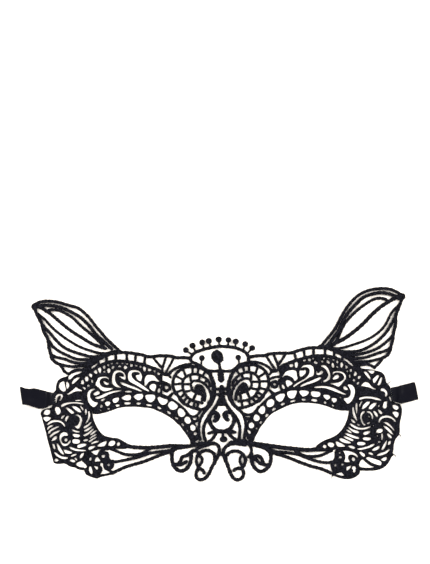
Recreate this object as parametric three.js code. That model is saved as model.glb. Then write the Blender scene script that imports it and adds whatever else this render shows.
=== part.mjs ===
import * as THREE from 'three';

// Embroidered lace eye mask with animal ears and two satin ribbon ties, lying face up.
// Millimetres, +Z up, +X to the viewer's right, +Y towards the ears.

// ---- driving dimensions ----
const LACE_THICKNESS = 1.2;      // corded embroidery, underside at z = 0
const BEAD_BOTTOM = 0.1;         // picot beads stand clear of the surface
const BEAD_TOP = 1.5;
const STEM_BEAD_TOP = 1.9;
const RIBBON_STACK_TOP = 3.9;    // folded ribbon tie lying under its own first run
const RIBBON_THICKNESS = 0.35;
const RIBBON_GAP = 0.3;
const STITCH_LENGTH = 1.1;
const STITCH_THICKNESS = 0.4;
const STITCH_LIFT = 0.3;
const BEAD_SIDES = 12;

// ---- lace motifs: outer edge and the larger openings of each ----
const MOTIFS = {
  ear_right: { outline: [[57.80,22.19],[60.93,25.90],[63.78,29.32],[66.63,33.31],[68.91,38.44],[71.19,42.14],[73.19,45.85],[75.75,48.98],[79.17,51.55],[82.59,53.48],[86.58,54.74],[90.57,55.31],[95.13,55.31],[98.55,54.40],[101.97,52.97],[105.28,50.69],[104.60,46.99],[103.40,43.57],[102.26,40.15],[101.40,36.73],[100.95,31.03],[99.98,25.90],[98.38,20.48],[96.56,16.32],[94.28,14.78],[92.57,12.22],[90.57,10.22],[88.58,8.91],[85.73,10.28],[82.59,10.16],[79.74,9.76]], windows: [[[69.48,27.32],[70.91,31.60],[73.47,36.16],[78.03,40.43],[83.73,44.71],[90.00,47.56],[93.42,46.70],[89.43,43.28],[85.44,39.01],[80.88,34.16],[76.89,30.74],[73.47,28.46]],[[100.26,47.27],[102.26,47.84],[99.69,42.43],[97.13,40.43]],[[95.13,31.31],[98.55,34.73],[97.98,29.32],[95.13,26.47]]] },
  ear_left: { outline: [[-57.12,19.81],[-60.30,23.30],[-63.31,26.36],[-66.55,29.88],[-69.61,34.12],[-72.49,37.12],[-74.98,40.27],[-77.90,42.79],[-81.51,44.47],[-84.96,45.79],[-88.82,46.95],[-92.61,47.74],[-96.98,48.15],[-100.27,47.69],[-103.60,46.75],[-106.70,44.90],[-106.10,41.60],[-104.90,38.59],[-103.46,35.58],[-101.95,32.62],[-99.94,27.65],[-98.20,22.45],[-96.69,16.84],[-94.12,12.63],[-91.20,10.92],[-89.56,8.11],[-87.80,6.39],[-85.86,5.64],[-82.86,7.34],[-80.15,7.59],[-77.74,7.49]], windows: [[[-68.85,23.92],[-70.80,27.80],[-74.17,31.63],[-79.62,35.05],[-86.00,38.57],[-92.58,41.31],[-96.15,41.13],[-91.94,38.17],[-87.40,34.51],[-81.88,30.10],[-77.10,26.90],[-73.10,24.82]],[[-102.48,41.93],[-104.16,42.41],[-101.91,38.22],[-99.65,37.38]],[[-95.68,30.07],[-99.24,31.93],[-97.17,26.78],[-94.85,24.03]]] },
  brow_lattice_right: { outline: [[30.72,18.26],[37.56,18.94],[40.98,19.06],[47.82,21.11],[51.24,21.91],[55.23,22.02],[57.40,21.73],[78.95,9.02],[78.60,8.57],[75.18,8.28],[72.33,9.99],[70.62,11.47],[67.77,13.18],[64.92,14.44],[61.50,15.35],[58.08,15.58],[54.66,15.46],[51.24,15.01],[48.39,14.44],[45.54,13.64],[42.69,13.07],[39.84,12.27],[36.99,11.08],[34.71,9.76],[33.57,8.62],[30.72,8.62]], windows: [[[44.57,18.37],[47.71,19.28],[48.11,15.75],[44.97,14.95]],[[49.53,19.85],[52.95,20.42],[52.95,16.83],[49.82,16.26]],[[54.66,20.42],[59.22,20.08],[59.51,17.12],[54.66,17.00]],[[61.22,18.88],[64.64,16.89],[64.35,16.09],[61.22,16.83]],[[38.13,17.35],[42.12,17.80],[42.98,14.61],[38.13,13.01]]] },
  brow_lattice_left: { outline: [[-28.96,16.62],[-37.30,16.79],[-40.27,16.64],[-46.88,18.38],[-50.39,19.19],[-54.49,19.48],[-56.70,19.34],[-76.97,6.80],[-76.60,6.34],[-73.50,6.21],[-71.15,7.97],[-69.64,9.33],[-66.93,10.90],[-64.17,12.13],[-60.67,13.04],[-57.22,13.23],[-53.76,13.03],[-50.08,12.52],[-47.00,11.98],[-43.93,11.28],[-41.26,10.73],[-38.73,10.01],[-35.99,9.05],[-33.57,8.05],[-32.32,7.03],[-28.96,7.09]], windows: [[[-43.37,15.82],[-46.58,16.63],[-46.72,13.26],[-43.37,12.57]],[[-48.51,17.17],[-52.07,17.80],[-52.01,14.34],[-48.60,13.73]],[[-53.84,17.88],[-58.35,17.74],[-58.66,14.79],[-53.83,14.56]],[[-60.31,16.54],[-63.93,14.53],[-63.64,13.76],[-60.38,14.52]],[[-37.66,15.18],[-41.10,15.36],[-41.54,12.26],[-37.20,10.89]]] },
  brow_scroll_right: { outline: [[30.72,8.00],[33.92,8.00],[35.11,9.14],[37.28,10.45],[40.01,11.65],[42.81,12.44],[45.66,13.01],[48.51,13.81],[51.36,14.38],[54.66,14.84],[58.08,14.95],[61.39,14.72],[64.70,13.81],[67.49,12.56],[70.34,10.85],[72.05,9.37],[74.61,7.66],[76.89,7.37],[77.46,1.96],[78.03,-2.03],[78.03,-6.02],[76.89,-9.05],[74.96,-11.38],[73.76,-10.13],[70.62,-7.85],[66.63,-5.85],[62.07,-4.14],[57.51,-3.17],[52.95,-2.60],[49.53,-2.43],[45.54,-2.43],[38.70,-2.43],[35.85,-3.00],[33.00,-3.63],[30.72,-3.86]], windows: [[[46.40,5.95],[50.10,8.23],[49.82,6.52],[46.40,3.95]],[[55.80,7.94],[58.94,7.94],[58.65,6.23],[55.80,5.66]],[[65.78,0.25],[70.05,0.53],[69.48,-1.18],[65.78,-0.78]]] },
  brow_scroll_left: { outline: [[-28.96,6.45],[-32.65,6.34],[-33.95,7.36],[-36.24,8.37],[-38.87,9.36],[-41.37,10.10],[-44.08,10.65],[-47.12,11.37],[-50.17,11.90],[-53.69,12.40],[-57.19,12.59],[-60.54,12.41],[-63.87,11.50],[-66.54,10.26],[-69.21,8.66],[-70.68,7.26],[-72.75,5.48],[-74.81,5.12],[-74.54,-0.80],[-75.44,-4.63],[-75.91,-8.24],[-75.09,-11.27],[-73.22,-13.58],[-72.05,-12.35],[-69.00,-9.97],[-64.27,-7.82],[-59.53,-5.93],[-55.53,-4.83],[-51.38,-4.22],[-47.98,-4.23],[-43.80,-4.54],[-36.87,-4.41],[-34.15,-5.00],[-31.30,-5.61],[-28.96,-5.74]], windows: [[[-44.58,3.68],[-48.37,5.96],[-47.87,4.35],[-44.42,1.74]],[[-53.75,5.31],[-57.25,5.44],[-56.70,3.72],[-53.62,3.16]],[[-62.88,-2.22],[-66.93,-2.25],[-66.56,-3.76],[-62.90,-3.14]]] },
  upper_rim_right: { outline: [[30.72,-4.54],[33.57,-4.26],[36.42,-3.69],[38.70,-3.12],[45.54,-3.12],[49.53,-3.12],[52.95,-3.29],[57.51,-3.86],[62.07,-4.83],[66.63,-6.54],[70.62,-8.53],[73.47,-10.76],[74.56,-12.07],[74.56,-14.92],[71.19,-15.03],[67.77,-14.86],[64.92,-14.29],[62.07,-13.15],[58.65,-12.01],[55.23,-11.15],[51.81,-10.76],[48.39,-10.64],[44.97,-10.81],[41.55,-11.44],[38.13,-12.58],[34.71,-14.40],[31.58,-16.28],[30.72,-17.03]], windows: [[[38.99,-4.88],[44.12,-4.66],[43.55,-7.85],[38.70,-8.19]],[[45.83,-4.66],[51.24,-4.77],[50.39,-7.45],[45.54,-7.45]],[[52.95,-5.06],[57.51,-5.91],[57.11,-8.30],[52.38,-7.73]],[[59.11,-6.31],[62.93,-7.62],[62.53,-10.01],[58.94,-9.16]],[[32.72,-6.59],[37.28,-5.00],[36.99,-8.48],[34.14,-10.19]]] },
  upper_rim_left: { outline: [[-28.96,-6.46],[-31.87,-6.27],[-34.71,-5.68],[-36.88,-5.08],[-43.87,-5.20],[-48.09,-4.88],[-51.48,-4.88],[-55.52,-5.46],[-59.57,-6.58],[-64.39,-8.48],[-69.07,-10.65],[-71.82,-12.97],[-72.85,-14.23],[-72.88,-16.77],[-70.11,-16.80],[-67.28,-16.58],[-64.80,-16.09],[-62.05,-15.10],[-58.85,-14.16],[-55.65,-13.29],[-52.43,-12.92],[-48.62,-12.78],[-44.67,-12.91],[-40.96,-13.38],[-37.28,-14.34],[-33.16,-15.87],[-29.41,-17.42],[-28.96,-18.03]], windows: [[[-37.26,-6.83],[-42.48,-6.65],[-42.49,-9.89],[-37.42,-10.15]],[[-44.41,-6.68],[-50.14,-6.39],[-50.05,-9.37],[-44.65,-9.51]],[[-51.83,-6.67],[-55.74,-7.50],[-56.23,-10.16],[-52.11,-9.63]],[[-57.16,-7.94],[-60.90,-9.39],[-61.40,-11.93],[-58.05,-11.10]],[[-30.82,-8.62],[-35.61,-6.98],[-35.62,-10.44],[-32.42,-12.08]]] },
  temple_upper_right: { outline: [[79.74,8.68],[82.59,9.14],[85.44,9.25],[88.01,7.66],[90.57,7.88],[93.14,7.20],[95.02,4.92],[95.70,1.96],[96.56,-0.50],[97.87,-2.49],[98.33,-4.88],[98.44,-7.73],[98.90,-9.44],[100.55,-10.30],[102.54,-11.15],[104.14,-13.43],[104.37,-14.92],[98.55,-14.80],[94.56,-14.69],[90.57,-14.35],[87.15,-14.35],[83.73,-14.35],[81.45,-14.35],[78.89,-14.46],[75.47,-14.57],[75.47,-11.95],[77.46,-9.62],[78.72,-6.20],[78.72,-2.03],[78.15,1.96],[77.69,7.54]], windows: [[[88.58,3.38],[91.14,5.38],[93.71,3.67],[93.99,1.39],[91.43,-0.21],[88.86,0.53]],[[82.59,-11.15],[85.44,-10.19],[83.73,-13.15],[82.37,-13.43]],[[93.71,-10.87],[95.42,-10.58],[95.42,-13.72],[93.71,-13.72]]] },
  temple_upper_left: { outline: [[-77.60,6.38],[-80.11,6.59],[-82.67,6.43],[-85.55,4.66],[-88.51,4.22],[-91.07,3.39],[-92.64,1.52],[-92.93,-0.96],[-93.48,-3.16],[-94.46,-4.93],[-94.71,-7.22],[-94.76,-10.22],[-95.24,-12.08],[-97.04,-12.85],[-99.29,-13.42],[-101.33,-15.41],[-101.72,-16.84],[-96.28,-18.09],[-92.43,-17.30],[-88.40,-15.35],[-85.40,-15.19],[-82.41,-15.64],[-80.13,-15.93],[-77.36,-16.25],[-73.74,-16.48],[-73.73,-14.12],[-75.73,-11.84],[-76.67,-8.45],[-76.16,-4.64],[-75.29,-0.77],[-75.59,5.29]], windows: [[[-86.41,0.43],[-89.27,1.96],[-91.41,0.41],[-91.38,-1.60],[-88.88,-3.27],[-86.48,-2.50]],[[-81.38,-12.97],[-84.16,-11.88],[-82.46,-14.56],[-81.10,-15.00]],[[-91.22,-13.03],[-92.57,-13.32],[-93.12,-16.61],[-91.46,-15.86]]] },
  temple_lower_right: { outline: [[104.48,-16.17],[104.03,-19.13],[103.28,-21.98],[103.17,-24.83],[102.71,-27.57],[101.46,-30.42],[100.32,-33.21],[99.75,-36.35],[99.29,-39.20],[98.27,-42.16],[96.44,-45.01],[93.88,-47.41],[90.69,-48.72],[86.58,-49.12],[82.59,-49.06],[81.23,-48.89],[80.88,-44.21],[79.91,-41.36],[78.32,-39.20],[75.75,-37.49],[71.76,-36.63],[67.20,-36.75],[63.78,-36.86],[59.22,-36.92],[56.72,-36.58],[55.58,-35.38],[57.86,-33.10],[60.71,-31.45],[64.13,-30.14],[67.15,-28.43],[69.60,-26.26],[71.59,-23.64],[73.13,-20.84],[74.10,-18.05],[74.50,-15.37],[78.89,-15.49],[83.73,-15.49],[90.57,-15.60],[98.55,-15.94]], windows: [[[81.17,-16.85],[83.16,-16.00],[86.01,-17.14],[86.87,-19.70],[85.44,-22.55],[82.88,-21.98],[81.17,-19.70]],[[95.70,-21.41],[97.41,-22.38],[99.69,-25.69],[97.98,-25.69],[95.99,-23.12]],[[89.72,-27.68],[91.71,-26.26],[93.42,-28.54],[92.57,-32.24],[90.29,-33.10],[89.43,-30.53]],[[94.28,-41.08],[96.56,-40.51],[95.13,-43.64],[93.14,-42.79]]] },
  temple_lower_left: { outline: [[-101.89,-18.05],[-101.37,-20.92],[-100.31,-23.54],[-99.75,-26.13],[-99.03,-29.16],[-97.66,-32.48],[-96.62,-35.24],[-96.16,-38.05],[-95.65,-40.53],[-94.82,-42.88],[-93.72,-44.51],[-92.22,-45.58],[-89.33,-46.40],[-85.05,-47.06],[-80.54,-48.21],[-78.87,-48.38],[-77.96,-44.58],[-76.23,-41.89],[-74.25,-39.39],[-71.88,-37.57],[-67.75,-36.73],[-64.20,-36.35],[-61.34,-36.06],[-56.93,-35.67],[-54.45,-35.22],[-53.45,-33.94],[-56.57,-31.44],[-60.04,-30.20],[-63.64,-29.54],[-66.33,-28.27],[-68.54,-26.35],[-70.34,-23.88],[-71.68,-21.35],[-72.57,-19.22],[-72.85,-17.15],[-77.35,-17.17],[-82.37,-16.72],[-88.27,-16.55],[-96.48,-19.25]], windows: [[[-79.76,-18.33],[-81.81,-17.30],[-84.17,-18.05],[-84.42,-20.90],[-82.60,-24.57],[-80.56,-23.79],[-79.46,-21.19]],[[-93.04,-23.95],[-94.63,-24.87],[-96.28,-27.71],[-94.63,-27.96],[-93.04,-25.59]],[[-86.27,-30.17],[-88.30,-28.76],[-89.93,-31.02],[-89.17,-34.21],[-87.11,-34.78],[-86.11,-32.70]],[[-90.25,-41.92],[-92.47,-41.65],[-91.84,-43.64],[-89.74,-42.97]]] },
  cheek_rings_right: { outline: [[67.77,-37.43],[71.76,-37.32],[75.47,-38.23],[77.92,-39.77],[79.40,-41.82],[80.26,-44.50],[80.60,-49.06],[79.17,-51.51],[76.32,-53.39],[72.90,-54.13],[69.48,-53.79],[66.06,-52.88],[64.24,-51.28],[64.24,-44.78],[64.52,-40.97],[65.61,-38.23]], windows: [[[72.33,-47.52],[74.90,-46.89],[77.35,-47.75],[77.92,-49.63],[76.61,-51.05],[74.61,-51.23],[72.62,-50.66],[71.99,-49.00]],[[68.34,-40.51],[70.05,-40.79],[69.83,-42.39],[68.34,-42.50]]] },
  cheek_rings_left: { outline: [[-64.57,-37.07],[-67.77,-37.37],[-71.60,-38.30],[-74.01,-39.96],[-75.86,-42.26],[-77.31,-44.77],[-78.05,-48.63],[-76.09,-51.02],[-72.89,-52.71],[-69.63,-53.49],[-66.44,-53.41],[-63.39,-52.83],[-61.67,-51.38],[-61.02,-44.64],[-61.43,-40.47],[-62.69,-37.66]], windows: [[[-68.07,-46.88],[-70.74,-46.31],[-73.65,-47.36],[-74.32,-49.21],[-72.69,-50.46],[-70.44,-50.47],[-68.43,-49.94],[-67.71,-48.33]],[[-65.04,-40.07],[-66.59,-40.44],[-66.38,-41.98],[-64.98,-42.09]]] },
  under_strands_right: { outline: [[30.72,-34.13],[33.00,-34.47],[36.99,-35.04],[40.98,-35.44],[44.97,-35.78],[48.96,-35.95],[52.95,-35.89],[54.83,-35.61],[56.15,-37.20],[59.22,-37.55],[63.78,-37.49],[64.92,-38.06],[63.90,-40.68],[63.61,-44.78],[63.61,-50.94],[59.79,-49.46],[56.37,-48.20],[52.95,-47.18],[49.53,-45.98],[46.11,-44.78],[42.69,-43.36],[39.27,-42.05],[35.85,-40.91],[32.43,-39.94],[30.72,-38.97]], windows: [[[46.11,-37.72],[51.81,-38.69],[57.51,-38.63],[60.93,-38.51],[57.51,-39.48],[52.38,-40.00],[48.39,-39.37]],[[40.41,-40.79],[44.40,-41.25],[50.67,-43.64],[57.51,-45.53],[62.36,-45.70],[62.36,-47.98],[56.37,-46.38],[49.53,-44.04]]] },
  under_strands_left: { outline: [[-28.96,-33.93],[-29.21,-34.17],[-33.14,-34.64],[-36.93,-34.95],[-41.02,-35.22],[-45.76,-35.20],[-50.41,-34.75],[-52.58,-34.25],[-53.75,-35.95],[-56.78,-36.40],[-61.20,-36.72],[-62.12,-37.42],[-60.85,-40.14],[-60.44,-44.63],[-61.08,-51.06],[-57.23,-49.41],[-53.78,-47.89],[-50.47,-46.76],[-46.90,-45.65],[-43.26,-44.60],[-39.64,-43.24],[-36.25,-41.87],[-33.05,-40.72],[-29.46,-39.82],[-28.96,-38.89]], windows: [[[-42.24,-37.16],[-49.19,-37.90],[-54.90,-37.58],[-58.26,-37.61],[-54.80,-38.56],[-49.95,-39.28],[-45.17,-38.83]],[[-36.95,-40.50],[-40.71,-40.89],[-48.15,-43.17],[-54.80,-45.08],[-59.32,-45.57],[-59.53,-48.00],[-53.75,-45.94],[-46.86,-43.65]]] },
  brow_inner_right: { outline: [[18.41,16.09],[20.06,16.78],[23.31,17.12],[25.59,17.23],[27.87,18.14],[29.58,18.37],[29.58,7.37],[28.16,8.91],[26.16,10.51],[23.88,11.87],[21.32,12.56],[18.75,12.96],[18.41,14.50]], windows: [[[21.60,15.35],[25.31,15.52],[27.87,12.22],[26.90,11.99],[24.45,13.36]]] },
  brow_inner_left: { outline: [[-17.84,15.46],[-19.48,16.02],[-22.62,16.02],[-24.86,15.93],[-27.25,16.69],[-27.82,16.81],[-27.82,5.80],[-26.89,7.33],[-24.92,8.89],[-22.67,10.31],[-20.12,11.13],[-17.59,11.73],[-17.56,13.61]], windows: [[[-20.74,14.26],[-24.40,14.15],[-26.74,10.65],[-25.74,10.41],[-23.35,11.88]]] },
  medallion_right: { outline: [[5.64,4.24],[7.07,6.63],[9.06,9.08],[11.91,11.08],[15.05,12.22],[18.18,12.27],[21.03,11.93],[23.60,10.90],[25.94,9.19],[27.87,6.57],[29.01,3.67],[29.30,0.82],[28.79,-2.38],[27.30,-4.77],[25.37,-6.59],[23.66,-8.76],[21.49,-10.70],[18.98,-12.29],[16.02,-13.61],[12.48,-14.06],[9.63,-13.43],[7.24,-10.70],[5.36,-7.45],[4.84,-4.31],[4.79,-0.89],[5.07,1.96]], windows: [[[19.78,0.70],[22.17,0.70],[22.17,-2.03],[19.78,-2.03]],[[23.88,0.82],[27.19,0.93],[26.85,-1.75],[24.00,-1.07]],[[11.06,4.35],[12.65,5.20],[12.82,3.67],[11.34,2.92]],[[23.03,9.37],[24.91,7.37],[22.46,5.66],[21.89,8.23]]] },
  medallion_left: { outline: [[-3.82,3.57],[-5.49,5.90],[-7.79,8.28],[-10.88,10.17],[-14.04,11.18],[-16.94,10.96],[-19.78,10.45],[-22.33,9.29],[-24.64,7.57],[-26.57,5.01],[-27.70,2.04],[-27.79,-0.83],[-26.90,-3.98],[-24.99,-6.28],[-22.96,-7.96],[-21.38,-10.17],[-19.50,-12.11],[-17.01,-13.59],[-14.19,-14.74],[-10.90,-14.90],[-7.94,-14.12],[-5.38,-11.27],[-3.38,-7.99],[-2.79,-4.86],[-2.69,-1.48],[-3.09,1.33]], windows: [[[-17.92,0.08],[-20.28,0.07],[-20.21,-2.61],[-17.83,-2.49]],[[-22.03,0.01],[-25.63,-0.45],[-24.95,-3.05],[-22.06,-1.86]],[[-9.40,3.42],[-11.17,4.15],[-11.14,2.70],[-9.54,2.06]],[[-21.71,7.73],[-23.56,5.81],[-21.03,4.33],[-20.58,6.64]]] },
  rim_inner_right: { outline: [[29.58,-17.60],[26.62,-20.67],[24.45,-23.30],[22.40,-26.66],[20.75,-29.51],[19.78,-32.42],[14.08,-32.42],[14.25,-29.39],[14.76,-25.97],[15.90,-22.33],[17.56,-19.36],[19.15,-16.63],[21.03,-14.12],[22.74,-12.01],[24.80,-10.24],[26.51,-8.30],[28.61,-6.59],[29.58,-5.91]], windows: [[[20.63,-17.42],[22.46,-15.03],[23.20,-16.28],[23.03,-17.77],[21.60,-20.05],[20.46,-19.13]],[[24.74,-12.86],[26.16,-11.04],[26.62,-13.72],[24.80,-15.89]],[[17.61,-23.12],[19.21,-21.70],[20.18,-22.84],[18.75,-25.40]]] },
  rim_inner_left: { outline: [[-27.82,-18.51],[-24.11,-21.15],[-21.86,-23.98],[-19.77,-27.63],[-18.09,-30.44],[-17.33,-33.26],[-10.72,-33.29],[-10.76,-30.48],[-11.32,-27.37],[-12.82,-24.03],[-14.78,-21.21],[-16.63,-18.36],[-18.56,-15.84],[-20.22,-13.79],[-22.17,-11.97],[-23.81,-9.98],[-26.00,-8.37],[-27.82,-7.76]], windows: [[[-17.95,-19.15],[-19.74,-16.81],[-20.43,-17.92],[-20.28,-19.24],[-18.84,-21.51],[-17.69,-20.82]],[[-21.88,-14.75],[-23.35,-12.87],[-23.78,-15.44],[-21.98,-17.45]],[[-14.54,-24.79],[-16.30,-23.38],[-17.32,-24.33],[-15.75,-26.82]]] },
  curl_outer_right: { outline: [[16.47,-33.04],[19.89,-32.93],[22.17,-32.87],[25.59,-33.27],[29.58,-33.90],[29.58,-41.36],[29.18,-44.78],[28.73,-47.35],[26.45,-49.63],[23.60,-50.43],[20.75,-49.34],[18.75,-46.78],[17.61,-43.93],[17.56,-41.08],[18.13,-38.23],[16.87,-35.38]], windows: [[[19.61,-37.09],[23.31,-36.98],[26.73,-38.40],[28.44,-40.22],[28.04,-43.64],[27.02,-44.39],[25.88,-41.93],[23.88,-39.65],[21.03,-39.26],[19.44,-39.94]]] },
  curl_outer_left: { outline: [[-13.55,-33.88],[-17.53,-33.78],[-19.74,-33.62],[-22.57,-33.61],[-27.82,-33.78],[-27.82,-41.44],[-27.01,-44.97],[-26.84,-47.60],[-24.77,-49.96],[-21.96,-50.82],[-19.00,-49.81],[-16.81,-47.33],[-15.48,-44.56],[-15.29,-41.78],[-15.81,-39.00],[-14.27,-36.20]], windows: [[[-17.36,-37.88],[-20.82,-37.54],[-23.82,-38.62],[-25.63,-40.34],[-25.75,-43.86],[-24.84,-44.66],[-23.47,-42.25],[-21.44,-40.12],[-18.79,-39.91],[-17.22,-40.64]]] },
  curl_inner_right: { outline: [[15.85,-33.04],[16.24,-35.55],[17.50,-38.51],[16.93,-41.08],[16.42,-43.07],[16.07,-45.64],[15.62,-48.49],[15.28,-51.05],[14.08,-53.62],[11.34,-55.16],[8.38,-54.25],[6.10,-51.17],[4.50,-47.35],[2.91,-43.64],[2.05,-40.22],[2.05,-37.37],[3.48,-35.21],[6.10,-33.61],[9.06,-33.33],[12.20,-33.33]], windows: [[[5.64,-39.94],[7.35,-38.69],[9.92,-38.51],[11.68,-39.31],[10.94,-40.79],[10.66,-43.36],[11.51,-45.81],[10.20,-46.38],[8.09,-46.84],[6.95,-47.63],[6.10,-45.35],[5.19,-42.50]]] },
  curl_inner_left: { outline: [[-12.81,-33.88],[-13.56,-36.37],[-15.14,-39.28],[-14.63,-41.79],[-14.18,-43.74],[-13.96,-46.24],[-13.65,-49.03],[-13.45,-51.54],[-12.36,-54.05],[-9.59,-55.54],[-6.43,-54.63],[-3.82,-51.60],[-1.87,-47.85],[0.06,-44.20],[1.18,-40.82],[1.35,-38.03],[0.02,-35.93],[-2.54,-34.41],[-5.52,-34.18],[-8.78,-34.18]], windows: [[[-2.49,-40.60],[-4.17,-39.39],[-6.85,-39.25],[-8.82,-40.04],[-8.15,-41.49],[-8.05,-44.01],[-9.14,-46.41],[-7.80,-46.96],[-5.60,-47.39],[-4.46,-48.16],[-3.39,-45.92],[-2.21,-43.11]]] },
  crown_arch: { outline: [[-17.27,15.52],[-15.56,17.92],[-12.88,19.51],[-9.75,20.59],[-6.33,21.28],[-2.91,22.02],[-0.06,22.42],[3.36,22.30],[6.78,21.79],[10.37,20.94],[13.39,19.68],[15.50,18.31],[16.87,15.98],[16.99,14.04],[15.96,13.98],[15.50,15.18],[14.48,16.83],[12.71,18.09],[9.97,19.34],[6.78,20.20],[3.36,20.71],[-0.06,20.82],[-2.91,20.42],[-6.21,19.68],[-9.58,18.94],[-12.25,18.03],[-14.25,16.78],[-15.45,14.84],[-16.59,14.61]], windows: [] },
  crown_base: { outline: [[-15.56,14.15],[-14.99,13.75],[-13.39,13.30],[-11.00,12.27],[-8.61,10.90],[-6.33,9.54],[-4.05,8.85],[-1.99,8.80],[-1.99,7.26],[-4.05,7.26],[-6.78,7.88],[-9.06,9.37],[-11.29,10.73],[-13.45,11.76],[-15.45,12.61]], windows: [] },
  crown_base_right: { outline: [[3.59,8.80],[5.47,8.80],[7.35,9.76],[9.29,11.47],[10.89,12.84],[13.34,13.47],[15.67,13.64],[15.90,13.07],[13.51,12.73],[11.68,11.82],[9.97,10.28],[7.92,8.45],[5.64,7.26],[3.59,7.26]], windows: [] },
  crown_drop: { outline: [[-1.48,19.68],[-3.36,18.83],[-4.50,16.89],[-4.45,15.07],[-3.25,13.13],[-1.54,11.87],[-0.63,11.30],[-0.28,9.65],[-0.85,7.37],[2.39,7.37],[1.88,9.65],[1.20,12.10],[2.34,13.58],[2.39,15.64],[1.65,17.86],[0.17,19.34]], windows: [] },
  nose_bridge: { outline: [[-1.65,6.63],[3.93,6.63],[4.05,2.53],[3.99,-2.03],[4.39,-8.02],[-1.77,-8.02],[-1.65,-2.03],[-1.88,2.53]], windows: [] },
  nose_heart: { outline: [[-2.05,-8.65],[4.50,-8.65],[7.64,-12.86],[10.77,-16.57],[12.77,-20.56],[13.05,-24.83],[12.94,-28.25],[12.71,-31.85],[9.63,-32.59],[6.21,-32.70],[5.41,-29.96],[4.27,-28.37],[0.80,-28.37],[-0.51,-29.96],[-1.31,-32.70],[-4.62,-32.70],[-7.47,-32.24],[-9.86,-31.67],[-10.32,-27.68],[-10.20,-23.69],[-9.29,-19.99],[-7.18,-16.00],[-4.33,-12.01]], windows: [[[-7.18,-29.39],[-7.47,-25.69],[-5.98,-23.12],[-4.62,-25.40],[-5.47,-28.54]],[[10.77,-29.85],[11.00,-25.69],[9.52,-23.12],[8.61,-25.40],[9.18,-28.25]],[[-4.05,-18.28],[-2.17,-16.97],[-1.60,-18.56],[-3.19,-19.70]],[[3.93,-17.14],[5.93,-16.85],[6.50,-18.56],[4.67,-19.31]]] },
  nose_tip: { outline: [[4.44,-31.07],[4.16,-31.89],[3.56,-32.50],[2.75,-32.80],[1.89,-32.71],[1.15,-32.26],[0.69,-31.54],[0.58,-30.68],[0.85,-29.87],[1.46,-29.25],[2.27,-28.95],[3.13,-29.04],[3.86,-29.49],[4.33,-30.21]], windows: [] },
};

// ---- picot beads: x, y, radius ----
const PICOTS = [[-18.98,19.63,1.48],[-15.16,22.13,1.54],[-9.63,23.96,1.54],[-5.87,24.81,1.54],[-0.23,25.67,1.60],[5.30,25.38,1.42],[9.52,24.53,1.54],[14.88,23.05,1.54],[18.87,20.82,1.48],[-9.80,15.07,1.48],[10.89,15.41,1.48]];

// ---- first run of each ribbon tie, from the sewn hem to the first fold ----
const RIBBON_RIGHT = [[99.47,-1.41],[111.15,1.61],[113.26,-8.30],[103.46,-10.81],[100.66,-9.79],[99.24,-9.05]];
const RIBBON_LEFT = [[-113.26,-1.01],[-109.27,-2.55],[-105.22,-1.92],[-96.16,-4.31],[-96.33,-11.38],[-97.81,-12.86],[-102.66,-13.61],[-107.33,-11.84],[-111.83,-11.27]];

const COLOURS = { lace: 0x17181c, bead: 0x1b1c21, ribbon: 0x121216, thread: 0x202126 };

const group = new THREE.Group();
group.name = 'lace_cat_mask';

function add(name, geometry, colour, roughness) {
  const mesh = new THREE.Mesh(geometry, new THREE.MeshStandardMaterial({ color: colour, roughness }));
  mesh.name = name;
  group.add(mesh);
}

function loop(points, clockwise) {
  const v = points.map(([x, y]) => new THREE.Vector2(x, y));
  return THREE.ShapeUtils.isClockWise(v) === clockwise ? v : v.reverse();
}

function plate(outline, windows, z0, z1) {
  const shape = new THREE.Shape(loop(outline, false));
  for (const w of windows) shape.holes.push(new THREE.Path(loop(w, true)));
  const g = new THREE.ExtrudeGeometry(shape, { depth: z1 - z0, bevelEnabled: false, steps: 1 });
  g.translate(0, 0, z0);
  return g;
}

for (const [name, m] of Object.entries(MOTIFS)) {
  const top = name === 'nose_tip' || name === 'crown_drop' ? STEM_BEAD_TOP : LACE_THICKNESS;
  add(name, plate(m.outline, m.windows, 0, top), COLOURS.lace, 0.85);
}

PICOTS.forEach(([x, y, r], k) => {
  const pts = [];
  for (let i = 0; i < BEAD_SIDES; i++) {
    const a = (i / BEAD_SIDES) * Math.PI * 2;
    pts.push([x + r * Math.cos(a), y + r * Math.sin(a)]);
  }
  const name = k < 9 ? `picot_bead_${k + 1}` : k === 9 ? 'picot_inner_left' : 'picot_inner_right';
  add(name, plate(pts, [], BEAD_BOTTOM, BEAD_TOP), COLOURS.bead, 0.8);
});

for (const [side, run] of [['right', RIBBON_RIGHT], ['left', RIBBON_LEFT]]) {
  add(`ribbon_folds_${side}`, plate(run, [], 0, RIBBON_STACK_TOP), COLOURS.ribbon, 0.4);
  add(`ribbon_tie_${side}`, plate(run, [], RIBBON_STACK_TOP + RIBBON_GAP, RIBBON_STACK_TOP + RIBBON_GAP + RIBBON_THICKNESS), COLOURS.ribbon, 0.4);
  const s = side === 'right' ? 1 : -1;
  const hemX = side === 'right' ? 98.10 : -94.22;
  const y0 = side === 'right' ? -2.32 : -4.88;
  const y1 = side === 'right' ? -9.44 : -11.72;
  const row = new THREE.BoxGeometry(STITCH_LENGTH, y0 - y1, STITCH_THICKNESS);
  row.translate(hemX - s * STITCH_LENGTH * 0.5, (y0 + y1) / 2, LACE_THICKNESS + STITCH_LIFT + STITCH_THICKNESS / 2);
  add(`hem_stitches_${side}`, row, COLOURS.thread, 0.8);
}

export default group;
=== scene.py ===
"""Embroidered lace cat mask with two satin ribbon ties, lying face up on a pale surface."""
import math
import random

import bpy
import numpy as np
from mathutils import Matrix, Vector
from mathutils.geometry import delaunay_2d_cdt


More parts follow.
